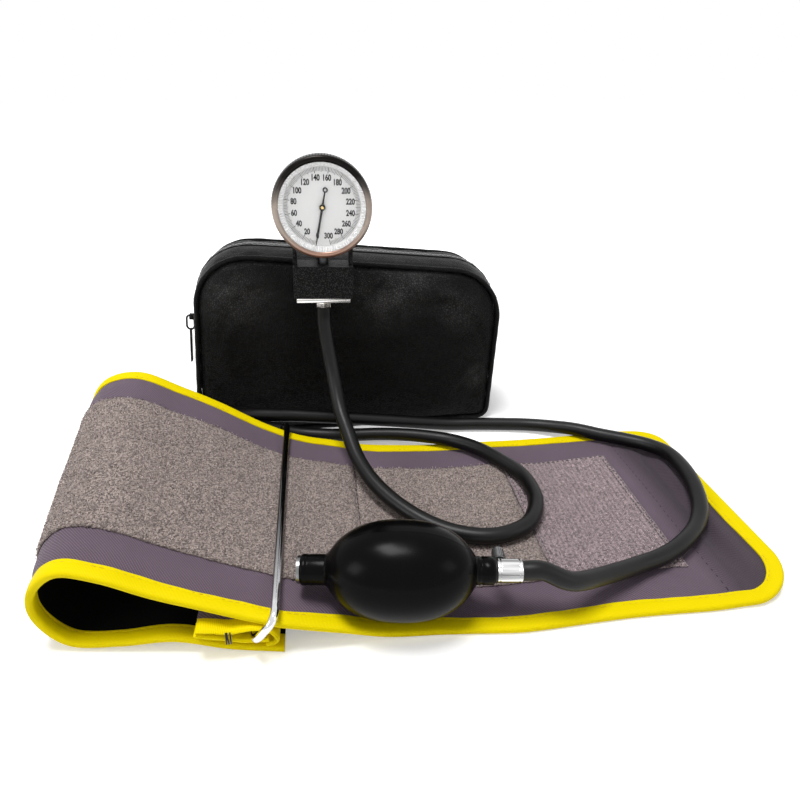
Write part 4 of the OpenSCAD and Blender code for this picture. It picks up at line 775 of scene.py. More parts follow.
def outline():
    """Places round the bound edge, from the hem along the front, round the free end and back, and the way in."""
    far = CUFF_LENGTH - TIP_RADIUS
    straight = np.arange(0, far - 1, EDGE_STEP)
    end = np.arange(TIP_RADIUS + EDGE_STEP, CUFF_WIDTH - TIP_RADIUS - 1, EDGE_STEP)
    turn = np.radians(np.arange(0, 90.1, 5))
    front = np.vstack([pts(straight, 0), pts(far + TIP_RADIUS * np.sin(turn), TIP_RADIUS - TIP_RADIUS * np.cos(turn))])
    inward = np.vstack([pts(0 * straight, 1.0), pts(-np.sin(turn), np.cos(turn))])
    return (np.vstack([front, pts(CUFF_LENGTH, end), front[::-1] * (1, -1) + (0, CUFF_WIDTH)]),
            np.vstack([inward, pts(-1.0, 0 * end), inward[::-1] * (1, -1)]))


def edge_point(places, inward, d, n):
    """Points d in from the outline, or out from it where d is below 0, and n above the cuff's middle surface."""
    spot = places + np.asarray(np.maximum(0, d))[..., None] * inward
    out = unit(cuff_middle(*(places + inward).T) - cuff_middle(*places.T))
    return cuff_at(*spot.T, n) + np.asarray(np.minimum(0, d))[..., None] * out


edge_places, edge_inward = outline()
BINDING_LOW = EDGE_THICK / 2 + SEAT / 2
BINDING_TOP = BINDING_LOW + BINDING_THICK
# Shares of the binding's width with heights, from its inner edge out, and the round nose past the cloth's edge
BINDING_FACE = [(1.0, BINDING_LOW - 0.25), (1.0, BINDING_TOP - 0.42), (0.985, BINDING_TOP - 0.16),
                (0.95, BINDING_TOP - 0.06), (0.84, BINDING_TOP), (0.79, BINDING_TOP - 0.12), (0.74, BINDING_TOP + 0.02),
                (0.5, BINDING_TOP + 0.12), (0.25, BINDING_TOP + 0.1), (0.1, BINDING_TOP + 0.02)]
BINDING_NOSE = [(-0.25, 0.86), (-0.6, 0.55), (-0.85, 0.0)]
SEAM_SHARE = 0.79


def binding():
    """The folded tape round the cuff, a little wavy in width and height."""
    count = len(edge_places)
    run = np.arange(count)
    wide = BINDING_WIDTH + 0.35 * np.sin(run / 9.0) + 0.2 * np.sin(run / 3.1)
    rows = []
    for share, height in BINDING_FACE:
        rumple = 0.1 * np.sin(run * 0.93 + 6 * share) * (share > 0.5) + 0.05 * np.sin(run * 0.31)
        rows.append((wide * share, height + rumple * (height > BINDING_LOW)))
    rows += [(d, BINDING_TOP * share) for d, share in BINDING_NOSE]
    rows += [(d, -BINDING_TOP * share) for d, share in BINDING_NOSE[-2::-1]]
    rows += [(wide * share, -height) for share, height in BINDING_FACE[::-1]]
    profile = np.stack([edge_point(edge_places, edge_inward, d, n) for d, n in rows], 1)
    columns = len(rows)
    form = profile.reshape(-1, 3), net(count, columns, round_columns=True) + lids(count, columns)
    make("edge_binding", form, TAPE, ["cuff_binding"],
         place=pts(run[:, None] * EDGE_STEP, np.linspace(0, 16, columns), 0).reshape(-1, 3))


def stitches(path, up, length, gap, radius, lift=0.16):
    """Short arched threads along a line; up is the cloth's way out at each point."""
    both = even(np.hstack([path, up]), 0.5)
    reach = round(length / 0.5)
    forms = []
    for k in range(0, len(both) - reach, round((length + gap) / 0.5)):
        a, b = both[k], both[k + reach]
        t = np.linspace(0, 1, 5)[:, None]
        line = a[:3] * (1 - t) + b[:3] * t + unit(a[3:]) * (lift * np.sin(math.pi * t) - 0.12)
        forms.append(tube(line, radius * np.array([0.55, 0.9, 1, 0.9, 0.55]), 6))
    return forms


def thread(name, forms, finish, slot):
    """Stitches as one piece, each with a shade of its own."""
    tint = np.repeat(random.random(len(forms)), len(forms[0][0]))
    make(name, joined(forms), finish, tint=tint)


binding()
forms = []
for side in (1, -1):
    seam = edge_point(edge_places, edge_inward, SEAM_SHARE * BINDING_WIDTH, side * (BINDING_TOP - 0.08))
    forms += stitches(seam, side * cuff_normal(edge_places[:, 0], edge_places[:, 1]), 2.0, 1.0, 0.2, 0.1)
thread("binding_stitches", forms, YELLOW_THREAD, "binding")

forms = []
w = np.arange(BINDING_WIDTH + 1, CUFF_WIDTH - BINDING_WIDTH - 1, 1.0)
for u, over_patch in ((STITCH_LEFT, PILE_THICK - 0.3), (STITCH_RIGHT, 0)):
    lift = swell(u, w, EDGE_THICK / 2, CUFF_THICK / 2) + relief(u, w) + 0.05
    lift = lift + np.where((w > PATCH_FRONT) & (w < PATCH_BACK), over_patch, 0)
    forms += stitches(*on_cuff(u, w, lift), 2.6, 1.2, 0.26)
for inset in (1.6, 3.4):
    u = np.arange(HOOK_START + inset, HOOK_END - inset, 1.0)
    w = np.arange(PATCH_FRONT + inset, PATCH_BACK - inset, 1.0)
    lines = [(u, PATCH_FRONT + inset), (HOOK_END - inset, w), (u[::-1], PATCH_BACK - inset),
             (HOOK_START + inset, w[::-1])]
    for line in lines if inset < 2 else lines[1:2]:
        level = PATCH_LEVEL + HOOK_THICK + 0.05 + relief(*line)
        forms += stitches(*on_cuff(*line, level), 2.2, 1.0, 0.2)
thread("dark_stitches", forms, DARK_THREAD, "twill")


def patch(name, u0, u1, thick, finish, node, rough, dip=0.0, frayed=False):
    """A sewn-on patch with a crowned edge and an uneven face; dip is how far the left seam draws it in."""
    u, w = np.meshgrid(np.linspace(u0, u1, round(u1 - u0) + 1), np.linspace(PATCH_FRONT, PATCH_BACK, PATCH_WIDTH + 1),
                       indexing="ij")
    rim = np.minimum(np.minimum(u - u0, u1 - u), np.minimum(w - PATCH_FRONT, PATCH_BACK - w))
    crown = smooth((rim + 0.6) / 2.2)
    noise = np.random.default_rng(21).normal(0, 1, u.shape)
    base = PATCH_LEVEL + relief(u, w)
    top = base + thick * (0.45 + 0.55 * crown) + rough * noise * crown - dip * hill(u - STITCH_LEFT, 1.3)
    fray = 0.35 * np.random.default_rng(5).normal(0, 1, u.shape) * (rim < 0.5) if frayed else 0
    make(name, shell(cuff_at(u, w + fray, top), cuff_at(u, w, base)), finish, [node])
    return lambda a, b: PATCH_LEVEL + relief(a, b) + thick - dip * hill(a - STITCH_LEFT, 1.3)


pile_level = patch("pile_ground", PILE_START, PILE_END, PILE_THICK * 0.72, PILE_BASE, "pile_patch",
                   rough=0.14, dip=0.9, frayed=True)
hook_level = patch("hook_ground", HOOK_START, HOOK_END, HOOK_THICK, HOOK_BASE, "hook_patch",
                   rough=0.03)


def fibres(name, u, w, level, finish, length, width, lean, curl):
    """Short bent fibres that stand on the cuff, one tapered ribbon each."""
    draw = np.random.default_rng(17)
    n = len(u)
    root, up = on_cuff(u, w, level(u, w) - 0.25)
    along = unit(cuff_middle(u + 0.5, w) - cuff_middle(u - 0.5, w))
    across = np.cross(up, along)
    turn = draw.uniform(0, TURN, n)[:, None]
    tilt = (np.cos(turn) * along + np.sin(turn) * across) * lean * draw.uniform(0.2, 1, n)[:, None]
    side = np.cos(turn + 1.57) * along + np.sin(turn + 1.57) * across
    long = (length * draw.uniform(0.55, 1.15, n))[:, None]
    middle = root + (up + tilt * 0.5) * long * 0.55
    tip = middle + (up * (1 - curl) + tilt * (1 + curl)) * long * 0.5
    half = side * width / 2
    points = np.stack([root - half, root + half, middle + half * 0.9, middle - half * 0.9, tip], 1).reshape(-1, 3)
    base = (np.arange(n) * 5)[:, None]
    faces = (base + [0, 1, 2, 3]).tolist() + (base + [3, 2, 4]).tolist()
    make(name, (points, faces), finish, tint=np.repeat(draw.random(n) ** 2.2, 5), soft=False)


PILE_DENSITY = 1.7  # fibres for each square millimetre
PAIR_PITCH, PAIR_GAP, BRISTLE_PITCH = 2.9, 0.8, 0.6  # the bristles stand in pairs of rows
draw = np.random.default_rng(29)
pile_from = PILE_START + 0.3
count = int((PILE_END - pile_from) * PATCH_WIDTH * PILE_DENSITY)
u = draw.uniform(pile_from, PILE_END, count)
w = PATCH_FRONT + draw.uniform(-0.4, PATCH_WIDTH + 0.4, count)
fibres("pile_fibres", u, w, pile_level, PILE_FIBRE, length=1.0, width=0.3, lean=0.7, curl=0.5)
pairs = np.arange(HOOK_START + 1.4, HOOK_END - 1.8, PAIR_PITCH)
u, w = np.meshgrid(np.sort(np.r_[pairs, pairs + PAIR_GAP]), np.arange(PATCH_FRONT + 1, PATCH_BACK - 1, BRISTLE_PITCH),
                   indexing="ij")
draw = np.random.default_rng(31)
u = u.ravel() + draw.uniform(-0.1, 0.1, u.size)
w = w.ravel() + draw.uniform(-0.15, 0.15, w.size)
fibres("hook_bristles", u, w, hook_level, HOOK_FIBRE, length=0.8, width=0.55, lean=0.25, curl=0.9)


# ---------- Ring and hem ----------

RING_PIVOT, RING_TOP = np.array([-146, 11.8]), np.array([-137, 23])
RING_FRONT_Y, RING_BACK_Y, WIRE_R, RING_BEND = -74.5, 78.5, 1.75, 4.75


def wire_ring():
    """The ring's centre line: two long bars and two short arms with round corners."""
    way = unit(RING_TOP - RING_PIVOT)
    far, reach = np.linalg.norm(RING_TOP - RING_PIVOT) - RING_BEND, RING_BACK_Y - RING_FRONT_Y - RING_BEND
    line = []
    for cx, cy, start in ((RING_BEND, RING_BEND, 180), (far, RING_BEND, 270), (far, reach, 0), (RING_BEND, reach, 90)):
        for a in np.radians(np.arange(start, start + 91, 11.25)):
            line.append((cx + RING_BEND * math.cos(a), cy + RING_BEND * math.sin(a)))
    line = even(line, 1.5, closed=True)
    return pts(RING_PIVOT[0] + line[:, 0] * way[0], RING_FRONT_Y + line[:, 1], RING_PIVOT[1] + line[:, 0] * way[1])


make("wire_ring", tube(wire_ring(), WIRE_R, 20, closed=True), RING_CHROME, ["cuff_ring"], body="ring")

# The hem's two straps round the ring, as x and z seen from the front, and the phase of their waves
HEM = (([(-168.5, 17.0), (-163, 16.0), (-156, 14.4), (-150.8, 14.9), (-146, 15.15), (-141.2, 13.9),
         (-138.4, 11.0), (-137.4, 8.2), (-138.6, 6.2), (-142, 5.6)], 0.4),
       ([(-169.5, 14.6), (-163.5, 12.6), (-157, 11.0), (-151, 9.1), (-146, 8.5), (-142.5, 8.2), (-140.6, 8.0)], 1.7))


def strap(route, phase, thick, y0, y1, nose):
    """A strap's points, faces and places, as a closed skin from y0 to y1 with rounded ends."""
    line = curve(route, np.linspace(0, len(route) - 1, 40))
    along = unit(np.gradient(line, axis=0))
    out = left(along)
    run = np.arange(len(line))
    taper = np.minimum(1, np.minimum(run, run[::-1]) / 3 + 0.45)
    ys = np.concatenate([y0 + nose * (1 - np.cos(np.linspace(0, math.pi / 2, 5))), [(y0 + y1) / 2],
                         y1 - nose * (1 - np.cos(np.linspace(math.pi / 2, 0, 5)))])
    full = np.maximum(np.sin(np.clip(np.minimum(ys - y0, y1 - ys) / nose, 0, 1) * math.pi / 2) ** 0.6, 0.35)
    wave = 0.25 * np.sin(ys / 11 + phase)[None, :, None] * out[:, None] * np.linspace(1, 0, len(line))[:, None, None]
    grids = []
    for side in (-1, 1):
        edge = line[:, None] + side * (thick / 2) * (out * taper[:, None])[:, None] * full[None, :, None] + wave
        grids.append(upright(edge, ys))
    return *shell(*grids), np.tile(pts(run[:, None] * 1.1, ys, 0).reshape(-1, 3), (2, 1))


def hem(name, thick, nose, bands, finish, replaces=()):
    """Both straps over each band of the cuff's width, as one piece."""
    straps = [strap(route, phase, thick, *band, nose) for route, phase in HEM for band in bands]
    make(name, joined([s[:2] for s in straps]), finish, replaces, place=np.vstack([s[2] for s in straps]))


hem("hem_binding", 2.1, 1.0, [(FRONT_Y - 0.7, FRONT_Y + BINDING_WIDTH), (BACK_Y - BINDING_WIDTH, BACK_Y + 0.7)], TAPE)
hem("hem_cloth", 1.3, 0.1, [(FRONT_Y + BINDING_WIDTH - 1, BACK_Y - BINDING_WIDTH + 1)], TWILL_CLOTH,
    ["ring_hem"])
forms = []
for y in (FRONT_Y - 1.0, BACK_Y + 1.0):
    for x, slope in ((-157.2, 0.3), (-156.2, -0.15), (-155.4, 0.2)):
        forms.append(tube([(x, y, 9.4), (x + slope, y + 0.25 * np.sign(y), 12.6), (x + 1.4 * slope, y, 15.6)], 0.32, 6))
thread("hem_tacks", forms, DARK_THREAD, "binding")


# ---------- Bulb and valves ----------

BULB_R, BODY_HALF, INTAKE_R, OUTLET_R = 21, 32, 6.4, 5.85
INTAKE_END, OUTLET_END = -42, 39


def bulb_profile():
    x = BODY_HALF * np.sin(np.radians(np.linspace(-89, 89, 80)))
    body = BULB_R * (1 - np.abs(x / BODY_HALF) ** 2.3) ** 0.52
    r = (body ** 5 + np.where(x < 0, INTAKE_R, OUTLET_R) ** 5) ** 0.2
    mouth = [(0, -2.4), (0, -0.8), (0.25, -0.2), (0.9, 0.1), (2.2, 0.1), (2.7, -0.15), (3.4, -0.15), (4, 0)]
    groove = [(0.9, 0.05), (1.1, -0.2), (1.7, -0.2), (1.9, 0)]
    rim = [(-0.9, 0), (-0.3, -0.25), (0, -0.8), (0, -1.85)]
    return np.vstack([np.add(mouth, (INTAKE_END, INTAKE_R)), pts(x, r),
                      np.add(groove, (BODY_HALF, OUTLET_R)), np.add(rim, (OUTLET_END, OUTLET_R))])


def mould_seam(a, profile):
    """A fine raised line along both sides of the bulb."""
    return 0.09 * hill(np.abs(np.sin(a)), 0.02) * (np.abs(profile[:, :1]) < BODY_HALF + 4)


make("bulb_body", moved(spin(bulb_profile(), 256, mould_seam), BULB_AXES), BULB_RUBBER, ["bulb"])
SLEEVE = np.add([(0.9, 3.9), (0.9, 4.7), (1.1, 5.0), (2.0, 5.0), (2.15, 4.8), (2.35, 4.8), (2.5, 5.0), (2.8, 5.0),
                 (5.5, 5.0), (9.6, 5.0), (9.9, 5.0), (10.05, 4.82), (10.25, 4.82), (10.4, 5.0), (11.2, 5.0),
                 (11.45, 4.8), (11.5, 4.5), (11.5, 2.2)], (OUTLET_END, 0))
make("valve_sleeve", moved(spin(SLEEVE, 96), BULB_AXES), SLEEVE_CHROME, ["outlet_valve"])


# ---------- Gauge: heights are above the dial's face ----------

def gauge_ring(name, profile, segments, finish, node, rippled=None):
    make(name, moved(spin(profile, segments, rippled, closed=True), GAUGE_AXES), finish, [node])


knurl = ripple(0.2, 108, lambda z, r: (z > -3.4) & (z < 2.8) & (r > 26))
ribs = ripple(0.4, 96, lambda z, r: (r > 21.2) & (r < 22.6))
gauge_ring("bezel_rim", [
    (-4.45, 25.05), (-4.45, 25.75), (-4.3, 26.0), (-3.9, 26.05), (-3.6, 26.2), (-3.2, 26.25), (2.6, 26.25),
    (3.0, 26.2), (3.3, 26.1), (3.8, 26.05), (4.35, 25.75), (4.8, 25.2), (4.98, 24.6), (5.0, 24.2),
    (4.95, 23.6), (4.75, 23.05), (4.45, 22.82), (4.1, 22.8), (4.06, 24.28), (-0.6, 24.3), (-0.6, 25.05)],
    864, BEZEL, "bezel", knurl)
gauge_ring("dial_surround", [
    (0.06, 20.35), (0.5, 20.6), (1.0, 21.3), (1.6, 22.0), (2.2, 22.5), (2.5, 22.75), (2.52, 24.15), (0.06, 24.15)],
    768, WHITE_RING, "crystal_ring", ribs)
gauge_ring("crystal_lens", [
    (2.6, 24.15), (3.1, 24.1), (3.5, 23.4), (3.72, 21), (3.88, 14), (3.95, 7), (3.98, 0.5), (3.98, 0.02),
    (2.6, 0.02), (2.6, 0.5), (2.6, 12), (2.6, 23.4)], 128, GLASS, "crystal")
gauge_ring("dial_plate", [
    (-0.58, 1.05), (-0.02, 1.05), (0.0, 1.1), (0.0, 24.1), (-0.05, 24.15), (-0.58, 24.15)],
    128, DIAL, "dial")

DIAL_TOP, TICK_END, NUMBER_RING = 300, 20.1, 15.1
DIGIT_SIZE, DIGIT_NARROW, DIGIT_WEIGHT = 4.15, 0.74, 0.17
ZERO_TURN, STEP_TURN = 10.5, 22.5  # degrees from the foot of the dial to zero, and for each 20 on the scale


def dial_way(value):
    a = math.radians(ZERO_TURN + STEP_TURN * value / 20)
    return np.array([-math.sin(a), -math.cos(a)])


def tick(value, start, width):
    way = dial_way(value)
    side = left(way) * width / 2
    flat = [way * start - side, way * start + side, way * TICK_END + side, way * TICK_END - side]
    return [(*p, z) for z in (0.0, 0.05) for p in flat], net(2, 4, round_columns=True) + lids(2, 4)


def digits(text):
    """A number's outline as a thin plate, centred on its own middle."""
    data = bpy.data.curves.new("digits", "FONT")
    data.body, data.size, data.align_x, data.align_y = text, DIGIT_SIZE, "CENTER", "CENTER"
    data.extrude, data.resolution_u, data.offset = 0.02, 4, DIGIT_WEIGHT
    piece = linked("digits", data)
    mesh = bpy.data.meshes.new_from_object(piece.evaluated_get(bpy.context.evaluated_depsgraph_get()))
    points = np.array([v.co[:] for v in mesh.vertices])
    faces = [list(p.vertices) for p in mesh.polygons]
    bpy.data.objects.remove(piece)
    bpy.data.meshes.remove(mesh)
    points[:, 0] *= DIGIT_NARROW
    points[:, :2] -= (points[:, :2].max(0) + points[:, :2].min(0)) / 2
    return points, faces


fine, strong = [], []
for value in range(0, DIAL_TOP + 1, 2):
    if value % 10:
        fine.append(tick(value, 18.0, 0.2))
    else:
        strong.append(tick(value, 17.6, 0.22) if value % 20 else tick(value, 17.2, 0.3))
for value in range(0, DIAL_TOP + 1, 20):
    points, faces = digits(str(value))
    strong.append((points + (*dial_way(value) * NUMBER_RING, 0.03), faces))
make("dial_numbers", moved(joined(strong), GAUGE_AXES), INK, soft=False)
make("dial_fine_marks", moved(joined(fine), GAUGE_AXES), GREY_INK, soft=False)


def needle():
    """The pointer at zero: a tapered needle with its tail, as half widths along it, a disc and a tail ring."""
    way = dial_way(0)
    side = left(way)
    levels = ((1.0, 0.08), (1.08, 0.0), (1.32, 0.0), (1.4, 0.08))
    forms = []
    for stations in (((-7.9, 0.3), (-4, 0.42), (-1.2, 0.6)),
                     ((1.2, 0.62), (8, 0.5), (13, 0.62), (15, 0.42), (20.2, 0.16))):
        rows = np.array(stations)
        count = 2 * len(rows)
        rings = []
        for z, less in levels:
            half = (rows[:, 1:] - less) * side
            middle = way * rows[:, :1]
            rings.append(np.hstack([np.vstack([middle + half, (middle - half)[::-1]]), np.full((count, 1), z)]))
        forms.append((np.vstack(rings), net(4, count, round_columns=True) + lids(4, count)))
    for centre, outer, inner in ((0, 1.62, 0.76), (-9, 1.35, 0.72)):
        profile = [(1.0, inner), (1.0, outer - 0.08), (1.08, outer), (1.32, outer), (1.4, outer - 0.08), (1.4, inner)]
        points, faces = spin(profile, 48, closed=True)
        forms.append((points + (*way * centre, 0), faces))
    return joined(forms)


make("pointer_needle", moved(needle(), GAUGE_AXES), POINTER, ["pointer"], body="pointer_set",
     soft=False)


def softened(node, width, finish, body="root", segments=3):
    """A CAD solid's shape with its edges rounded, as a piece of its own."""
    form = bmesh.new()
    form.from_mesh(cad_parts[node].data)
    bmesh.ops.remove_doubles(form, verts=form.verts, dist=1e-6)
    bmesh.ops.dissolve_limit(form, angle_limit=math.radians(4), verts=form.verts, edges=form.edges)
    mesh = bpy.data.meshes.new(node + "_finished")
    form.to_mesh(mesh)
    form.free()
    mesh.materials.clear()
    mesh.materials.append(finish.material)
    mesh.polygons.foreach_set("use_smooth", [True] * len(mesh.polygons))
    piece = linked(node + "_finished", mesh)
    bevel = piece.modifiers.new("round", "BEVEL")
    bevel.width, bevel.segments = width * MM, segments
    bevel.limit_method, bevel.angle_limit = "ANGLE", math.radians(35)
    piece.modifiers.new("normals", "WEIGHTED_NORMAL").keep_sharp = True
    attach(piece, body)
    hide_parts(node)


softened("neck_bracket", 0.45, PAINT)
softened("bracket_plate", 0.25, PLATE_CHROME)
softened("nozzle_nut", 0.3, PLATE_CHROME)
softened("gauge_case", 0.4, PAINT)
softened("back_clip", 0.15, STEEL, segments=2)


# ---------- Pouch ----------

# Corners of the pouch's outline as x, z and radius, and the points along each side that follows
POUCH_CORNERS = np.array([(-198, 0, 8), (-2, 0, 8), (2, 103.5, 34), (-150, 118.6, 60), (-183.5, 118.6, 32)], float)
EDGE_STEPS = (40, 22, 26, 3, 18)
PIPING_R, POUCH_FRONT_Y, POUCH_BACK_Y, ZIP_Y = 1.6, 107, 152, 130.5
GUSSET_INSET, GUSSET_FROM_PIPING, RIDGE_RISE = 3, 2.7, 1.2
PANEL_MIDDLE, PANEL_CROWN, PANEL_BACK = np.array([-98.0, 55.0]), 2.6, 2.0
ZIP_FOOT, TAPE_EDGE, TAPE_LAP, TAPE_LIFT, TAPE_WALL, TEETH_HALF = 34, 5.5, 0.4, -0.8, 0.8, 0.35
GUSSET_CURVE = [(0, 0), (0.36, 0.62), (0.7, 0.94), (1, 1)]
# Folds of the front: the middle's x and z, the turn, how far along, how deep and how wide
FRONT_FOLDS = ((-24, 86, -28, 26, 0.9, 3.4), (-14, 40, 24, 15, 1.1, 3.0), (-52, 92, 8, 34, 0.8, 5.0),
               (-164, 96, 38, 22, 0.8, 4.0), (-20, 64, -8, 22, 0.7, 4.0), (-172, 60, 82, 30, 0.7, 4.0))


def pouch_line(inset):
    """The pouch's outline moved in by inset, anticlockwise seen from the front."""
    corners = POUCH_CORNERS[:, :2]
    ways = unit(np.roll(corners, -1, 0) - corners)
    lefts = left(ways)
    arcs = []
    for i in range(5):
        a, b = lefts[i - 1], lefts[i]
        point = corners[i] + inset * (a + b) / (1 + a @ b)
        half = math.acos(max(-1, min(1, float(-ways[i - 1] @ ways[i])))) / 2
        r = max(0.5, POUCH_CORNERS[i, 2] - inset)
        centre = point + unit(ways[i] - ways[i - 1]) * r / math.sin(half)
        turn = math.atan2(-a[1], -a[0]) + np.linspace(0, math.pi - 2 * half, 14)
        arcs.append(centre + r * pts(np.cos(turn), np.sin(turn)))
    parts = []
    for i in range(5):
        share = np.linspace(0, 1, EDGE_STEPS[i] + 2)[1:-1, None]
        parts += [arcs[i], arcs[i][-1] * (1 - share) + arcs[(i + 1) % 5][0] * share]
    return np.vstack(parts)


def panel(name, y, out, node, seed, folds=()):
    """A soft panel inside its piping, with a crown, dents and folds; out is the way that it faces along Y."""
    rim = pouch_line(2 * PIPING_R + 0.1)
    share = np.concatenate([[1.0], 1 - np.linspace(0, 1, 46)[1:-1] ** 1.5])[:, None]
    grid = PANEL_MIDDLE + (rim - PANEL_MIDDLE) * share[..., None]
    x, z = grid[..., 0], grid[..., 1]
    depth = PANEL_CROWN * (1 - share ** 5) + waves(x, z, seed, 70, 1.1) * (1 - share ** 8)
    depth = depth + waves(x, z, seed + 1, 26, 0.35) * (1 - share ** 10)
    for cx, cz, turn, long, deep, wide in folds:
        c, s = math.cos(math.radians(turn)), math.sin(math.radians(turn))
        a, b = (x - cx) * c + (z - cz) * s, -(x - cx) * s + (z - cz) * c
        b = b + 0.02 * a ** 2
        depth = depth + deep * hill(a, long) * (hill(b, wide) - 0.9 * hill(b + wide, wide))
    depth = np.clip(depth, 0.2, 4.6) * (1 - 0.9 * (share > 0.999)) - 1.4 * hill(1 - share, 0.02)
    rows, columns = x.shape
    points = np.vstack([upright(grid, y + out * depth).reshape(-1, 3),
                        upright(PANEL_MIDDLE[None], y + out * PANEL_CROWN),
                        upright(np.vstack([rim, PANEL_MIDDLE]), y - out * PANEL_BACK)])
    j, last, front_middle = np.arange(columns), (rows - 1) * columns, rows * columns
    k, back = np.roll(j, -1), front_middle + 1
    faces = [*net(rows, columns, round_columns=True), *pts(last + j, last + k, front_middle).tolist(),
             *pts(j, back + j, back + k, k).tolist(), *pts(back + k, back + j, back + columns).tolist()]
    if out < 0:
        faces = [f[::-1] for f in faces]
    make(name, (points, faces), PANEL_VINYL, [node])


panel("pouch_front_skin", POUCH_FRONT_Y, -1, "pouch_front", 41, FRONT_FOLDS)
panel("pouch_back_skin", POUCH_BACK_Y, 1, "pouch_back", 47)
for name, y, node in (("front_welt", POUCH_FRONT_Y + PIPING_R, "front_piping"),
                      ("back_welt", POUCH_BACK_Y - PIPING_R, "back_piping")):
    route = upright(even(pouch_line(PIPING_R), 2.2, closed=True), y)
    radius = PIPING_R + 0.06 * np.sin(np.arange(len(route)) * 1.1)
    make(name, tube(route, radius, 14, closed=True), PIPING_VINYL, [node])


def over(top):
    """The points of the outline above the zip's foot, from left to right, or those below it."""
    z = pouch_line(0)[:, 1]
    chosen = np.where(z > ZIP_FOOT)[0] if top else np.where(z <= ZIP_FOOT)[0]
    breaks = np.where(np.diff(chosen) > 1)[0]
    if len(breaks):
        chosen = np.concatenate([chosen[breaks[0] + 1:], chosen[:breaks[0] + 1]])
    return chosen[::-1] if top else chosen


def strip(name, stations, wall, finish, replaces, top=True, wrinkle=0.0, seed=3):
    """A strip round the pouch; each station is a place along Y and an inset."""
    places = even(stations, 1.6)
    kept = over(top)
    outer, inner = (np.stack([upright(pouch_line(inset + deeper)[kept], y) for y, inset in places], 1)
                    for deeper in (0, wall))
    run = np.cumsum(np.r_[0, np.linalg.norm(np.diff(outer[:, 0], axis=0), axis=1)])
    fade = np.sin(math.pi * np.linspace(0, 1, len(places))) ** 0.7
    lift = wrinkle * waves(run[:, None], places[:, 0], seed, 14, 1.0) * fade
    points, faces = shell(outer + unit(outer - inner) * lift[..., None], inner)
    make(name, (points, faces if top else [f[::-1] for f in faces]), finish, replaces)


def gusset_rows(start, end):
    """Stations from the piping up to the ridge beside the zip tape."""
    t = np.linspace(0, 1, 12)
    rise = np.interp(t, *np.transpose(GUSSET_CURVE))
    return pts(start + (end - start) * t, GUSSET_INSET - (GUSSET_INSET + RIDGE_RISE) * rise)


FRONT_SEAM, BACK_SEAM = POUCH_FRONT_Y + GUSSET_FROM_PIPING, POUCH_BACK_Y - GUSSET_FROM_PIPING
strip("front_gusset_skin", gusset_rows(FRONT_SEAM, ZIP_Y - TAPE_EDGE + TAPE_LAP), 1.5, VINYL, ["gusset_front"],
      wrinkle=0.45)
strip("back_gusset_skin", gusset_rows(BACK_SEAM, ZIP_Y + TAPE_EDGE - TAPE_LAP)[::-1], 1.5, VINYL, ["gusset_back"],
      wrinkle=0.45, seed=5)
strip("pouch_base_skin", [(FRONT_SEAM, 3), (ZIP_Y, 2.2), (BACK_SEAM, 3)], 1.6, VINYL, ["pouch_base"],
      top=False, wrinkle=0.3, seed=7)
strip("front_zip_tape", [(ZIP_Y - TAPE_EDGE, TAPE_LIFT), (ZIP_Y - TEETH_HALF, TAPE_LIFT)], TAPE_WALL, ZIP_TAPE,
      ["zip_tapes"])
strip("back_zip_tape", [(ZIP_Y + TEETH_HALF, TAPE_LIFT), (ZIP_Y + TAPE_EDGE, TAPE_LIFT)], TAPE_WALL, ZIP_TAPE,
      [])
softened("zip_slider", 0.2, PAINT, body="zip_slider", segments=2)
softened("zip_stops", 0.15, PAINT, segments=2)
softened("front_teeth", 0.3, TEETH, segments=2)
softened("back_teeth", 0.3, TEETH, segments=2)

SLIDER_PLACE, SLIDER_WAY = np.array([-189.671, ZIP_Y, 74.719]), np.array([0.121357, 0, 0.992609])
SLIDER_OUT = np.array([-0.992609, 0, 0.121357])
PULL_AXES = placed(SLIDER_PLACE + 4.25 * SLIDER_OUT, (0, 1, 0), -SLIDER_OUT, -SLIDER_WAY)
# The pull's wire eye, how far it and the tag stand off the pin, and the tag's size and middle
EYE_LOW, EYE_HIGH, EYE_R, EYE_WIRE_R, PULL_OUT = -0.8, 8.6, 2.3, 0.62, 0.9
TAG_SIZE, TAG_MIDDLE, PIN_HALF, PIN_R = (4.0, 1.1, 23), 19.6, 1.9, 0.75

eye = [(0, EYE_R * math.cos(a) - PULL_OUT, middle + EYE_R * math.sin(a))
       for middle, start in ((EYE_HIGH - EYE_R, 0), (EYE_LOW + EYE_R, math.pi))
       for a in start + np.linspace(0, math.pi, 10)]
tag, tag_faces = block(TAG_SIZE, 0.5)
pull = [tube(eye, EYE_WIRE_R, 10, closed=True), (tag + (0, -PULL_OUT, TAG_MIDDLE), tag_faces),
        tube([(-PIN_HALF, 0, 0), (PIN_HALF, 0, 0)], PIN_R, 12)]
make("zip_pull_tag", moved(joined(pull), PULL_AXES), PAINT, ["zip_pull"], body="zip_pull")


# ---------- Materials on the pieces that keep their CAD form ----------

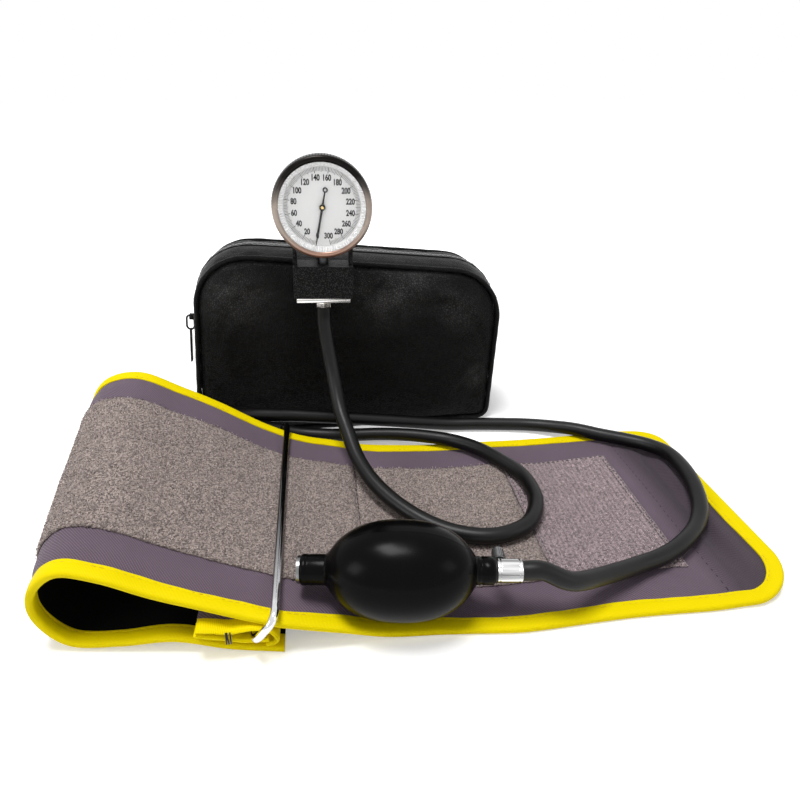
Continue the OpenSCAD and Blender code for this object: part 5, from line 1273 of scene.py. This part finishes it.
for finish, names in (
        (HOSE_RUBBER, "bladder bladder_ports neck_washer"),
        (DARK_STEEL, "intake_valve intake_screen bleed_knob"),
        (STEEL, "intake_ball outlet_ball bleed_needle hairspring sector_shaft movement_screws push_pin clip_rivets"),
        (BRASS, "hose_barb pointer_hub pinion_arbor sector_gear lower_plate upper_plate pillars capsule"),
        (BLACK_METAL, "nozzle_stem")):
    for name in names.split():
        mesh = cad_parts[name].data
        mesh.materials.clear()
        mesh.materials.append(finish.material)


# ---------- Floor, light and surroundings ----------

FLOOR_EDGE, FLOOR_MIDDLE = 6.0, (-0.05, 0.03, 0)
FLOOR_NEAR, FLOOR_FADE, NEAR_GLOW = 0.3, 0.25, 0.35
SKY_LIGHT = 0.32

floor = bpy.data.meshes.new("floor")
floor.from_pydata([(x * FLOOR_EDGE, y * FLOOR_EDGE, 0) for x, y in ((-1, -1), (1, -1), (1, 1), (-1, 1))], [],
                  [[0, 1, 2, 3]])
floor_piece = linked("floor", floor)
surface = Finish("white floor", Base_Color=(0.9, 0.9, 0.9), Roughness=0.9, Specular_IOR_Level=0.0,
                 Emission_Color=(1, 1, 1))
away = surface.between(surface.distance(surface.place, FLOOR_MIDDLE), FLOOR_NEAR, FLOOR_FADE)
glow = surface.calc("MULTIPLY_ADD", away, 1 - NEAR_GLOW, NEAR_GLOW)
surface.set("Emission Strength", surface.calc("MULTIPLY", surface.seen(), glow))
floor.materials.append(surface.material)


def lamp(name, place, target, size, power):
    data = bpy.data.lights.new(name, "AREA")
    data.shape, data.size, data.size_y, data.energy = "RECTANGLE", size[0], size[1], power
    piece = linked(name, data)
    piece.location = place
    piece.rotation_euler = (Vector(target) - Vector(place)).to_track_quat("-Z", "Y").to_euler()


lamp("top softbox", (-0.25, -0.05, 1.2), (-0.08, 0.02, 0), (0.5, 0.32), 12.0)
lamp("left fill", (-1.3, -0.5, 0.7), (-0.1, 0, 0.05), (0.5, 0.5), 4)
lamp("right fill", (1.1, -0.7, 0.8), (-0.05, 0, 0.05), (0.5, 0.5), 1.6)
world = bpy.data.worlds.new("studio")
world.use_nodes = True
bpy.context.scene.world = world
sky, backdrop = Nodes(world.node_tree), world.node_tree.nodes["Background"].inputs
sky.feed(backdrop["Color"], (1, 1, 1))
sky.feed(backdrop["Strength"], sky.calc("MULTIPLY_ADD", sky.seen(), 1 - SKY_LIGHT, SKY_LIGHT))
bpy.context.scene.view_settings.view_transform = "Standard"
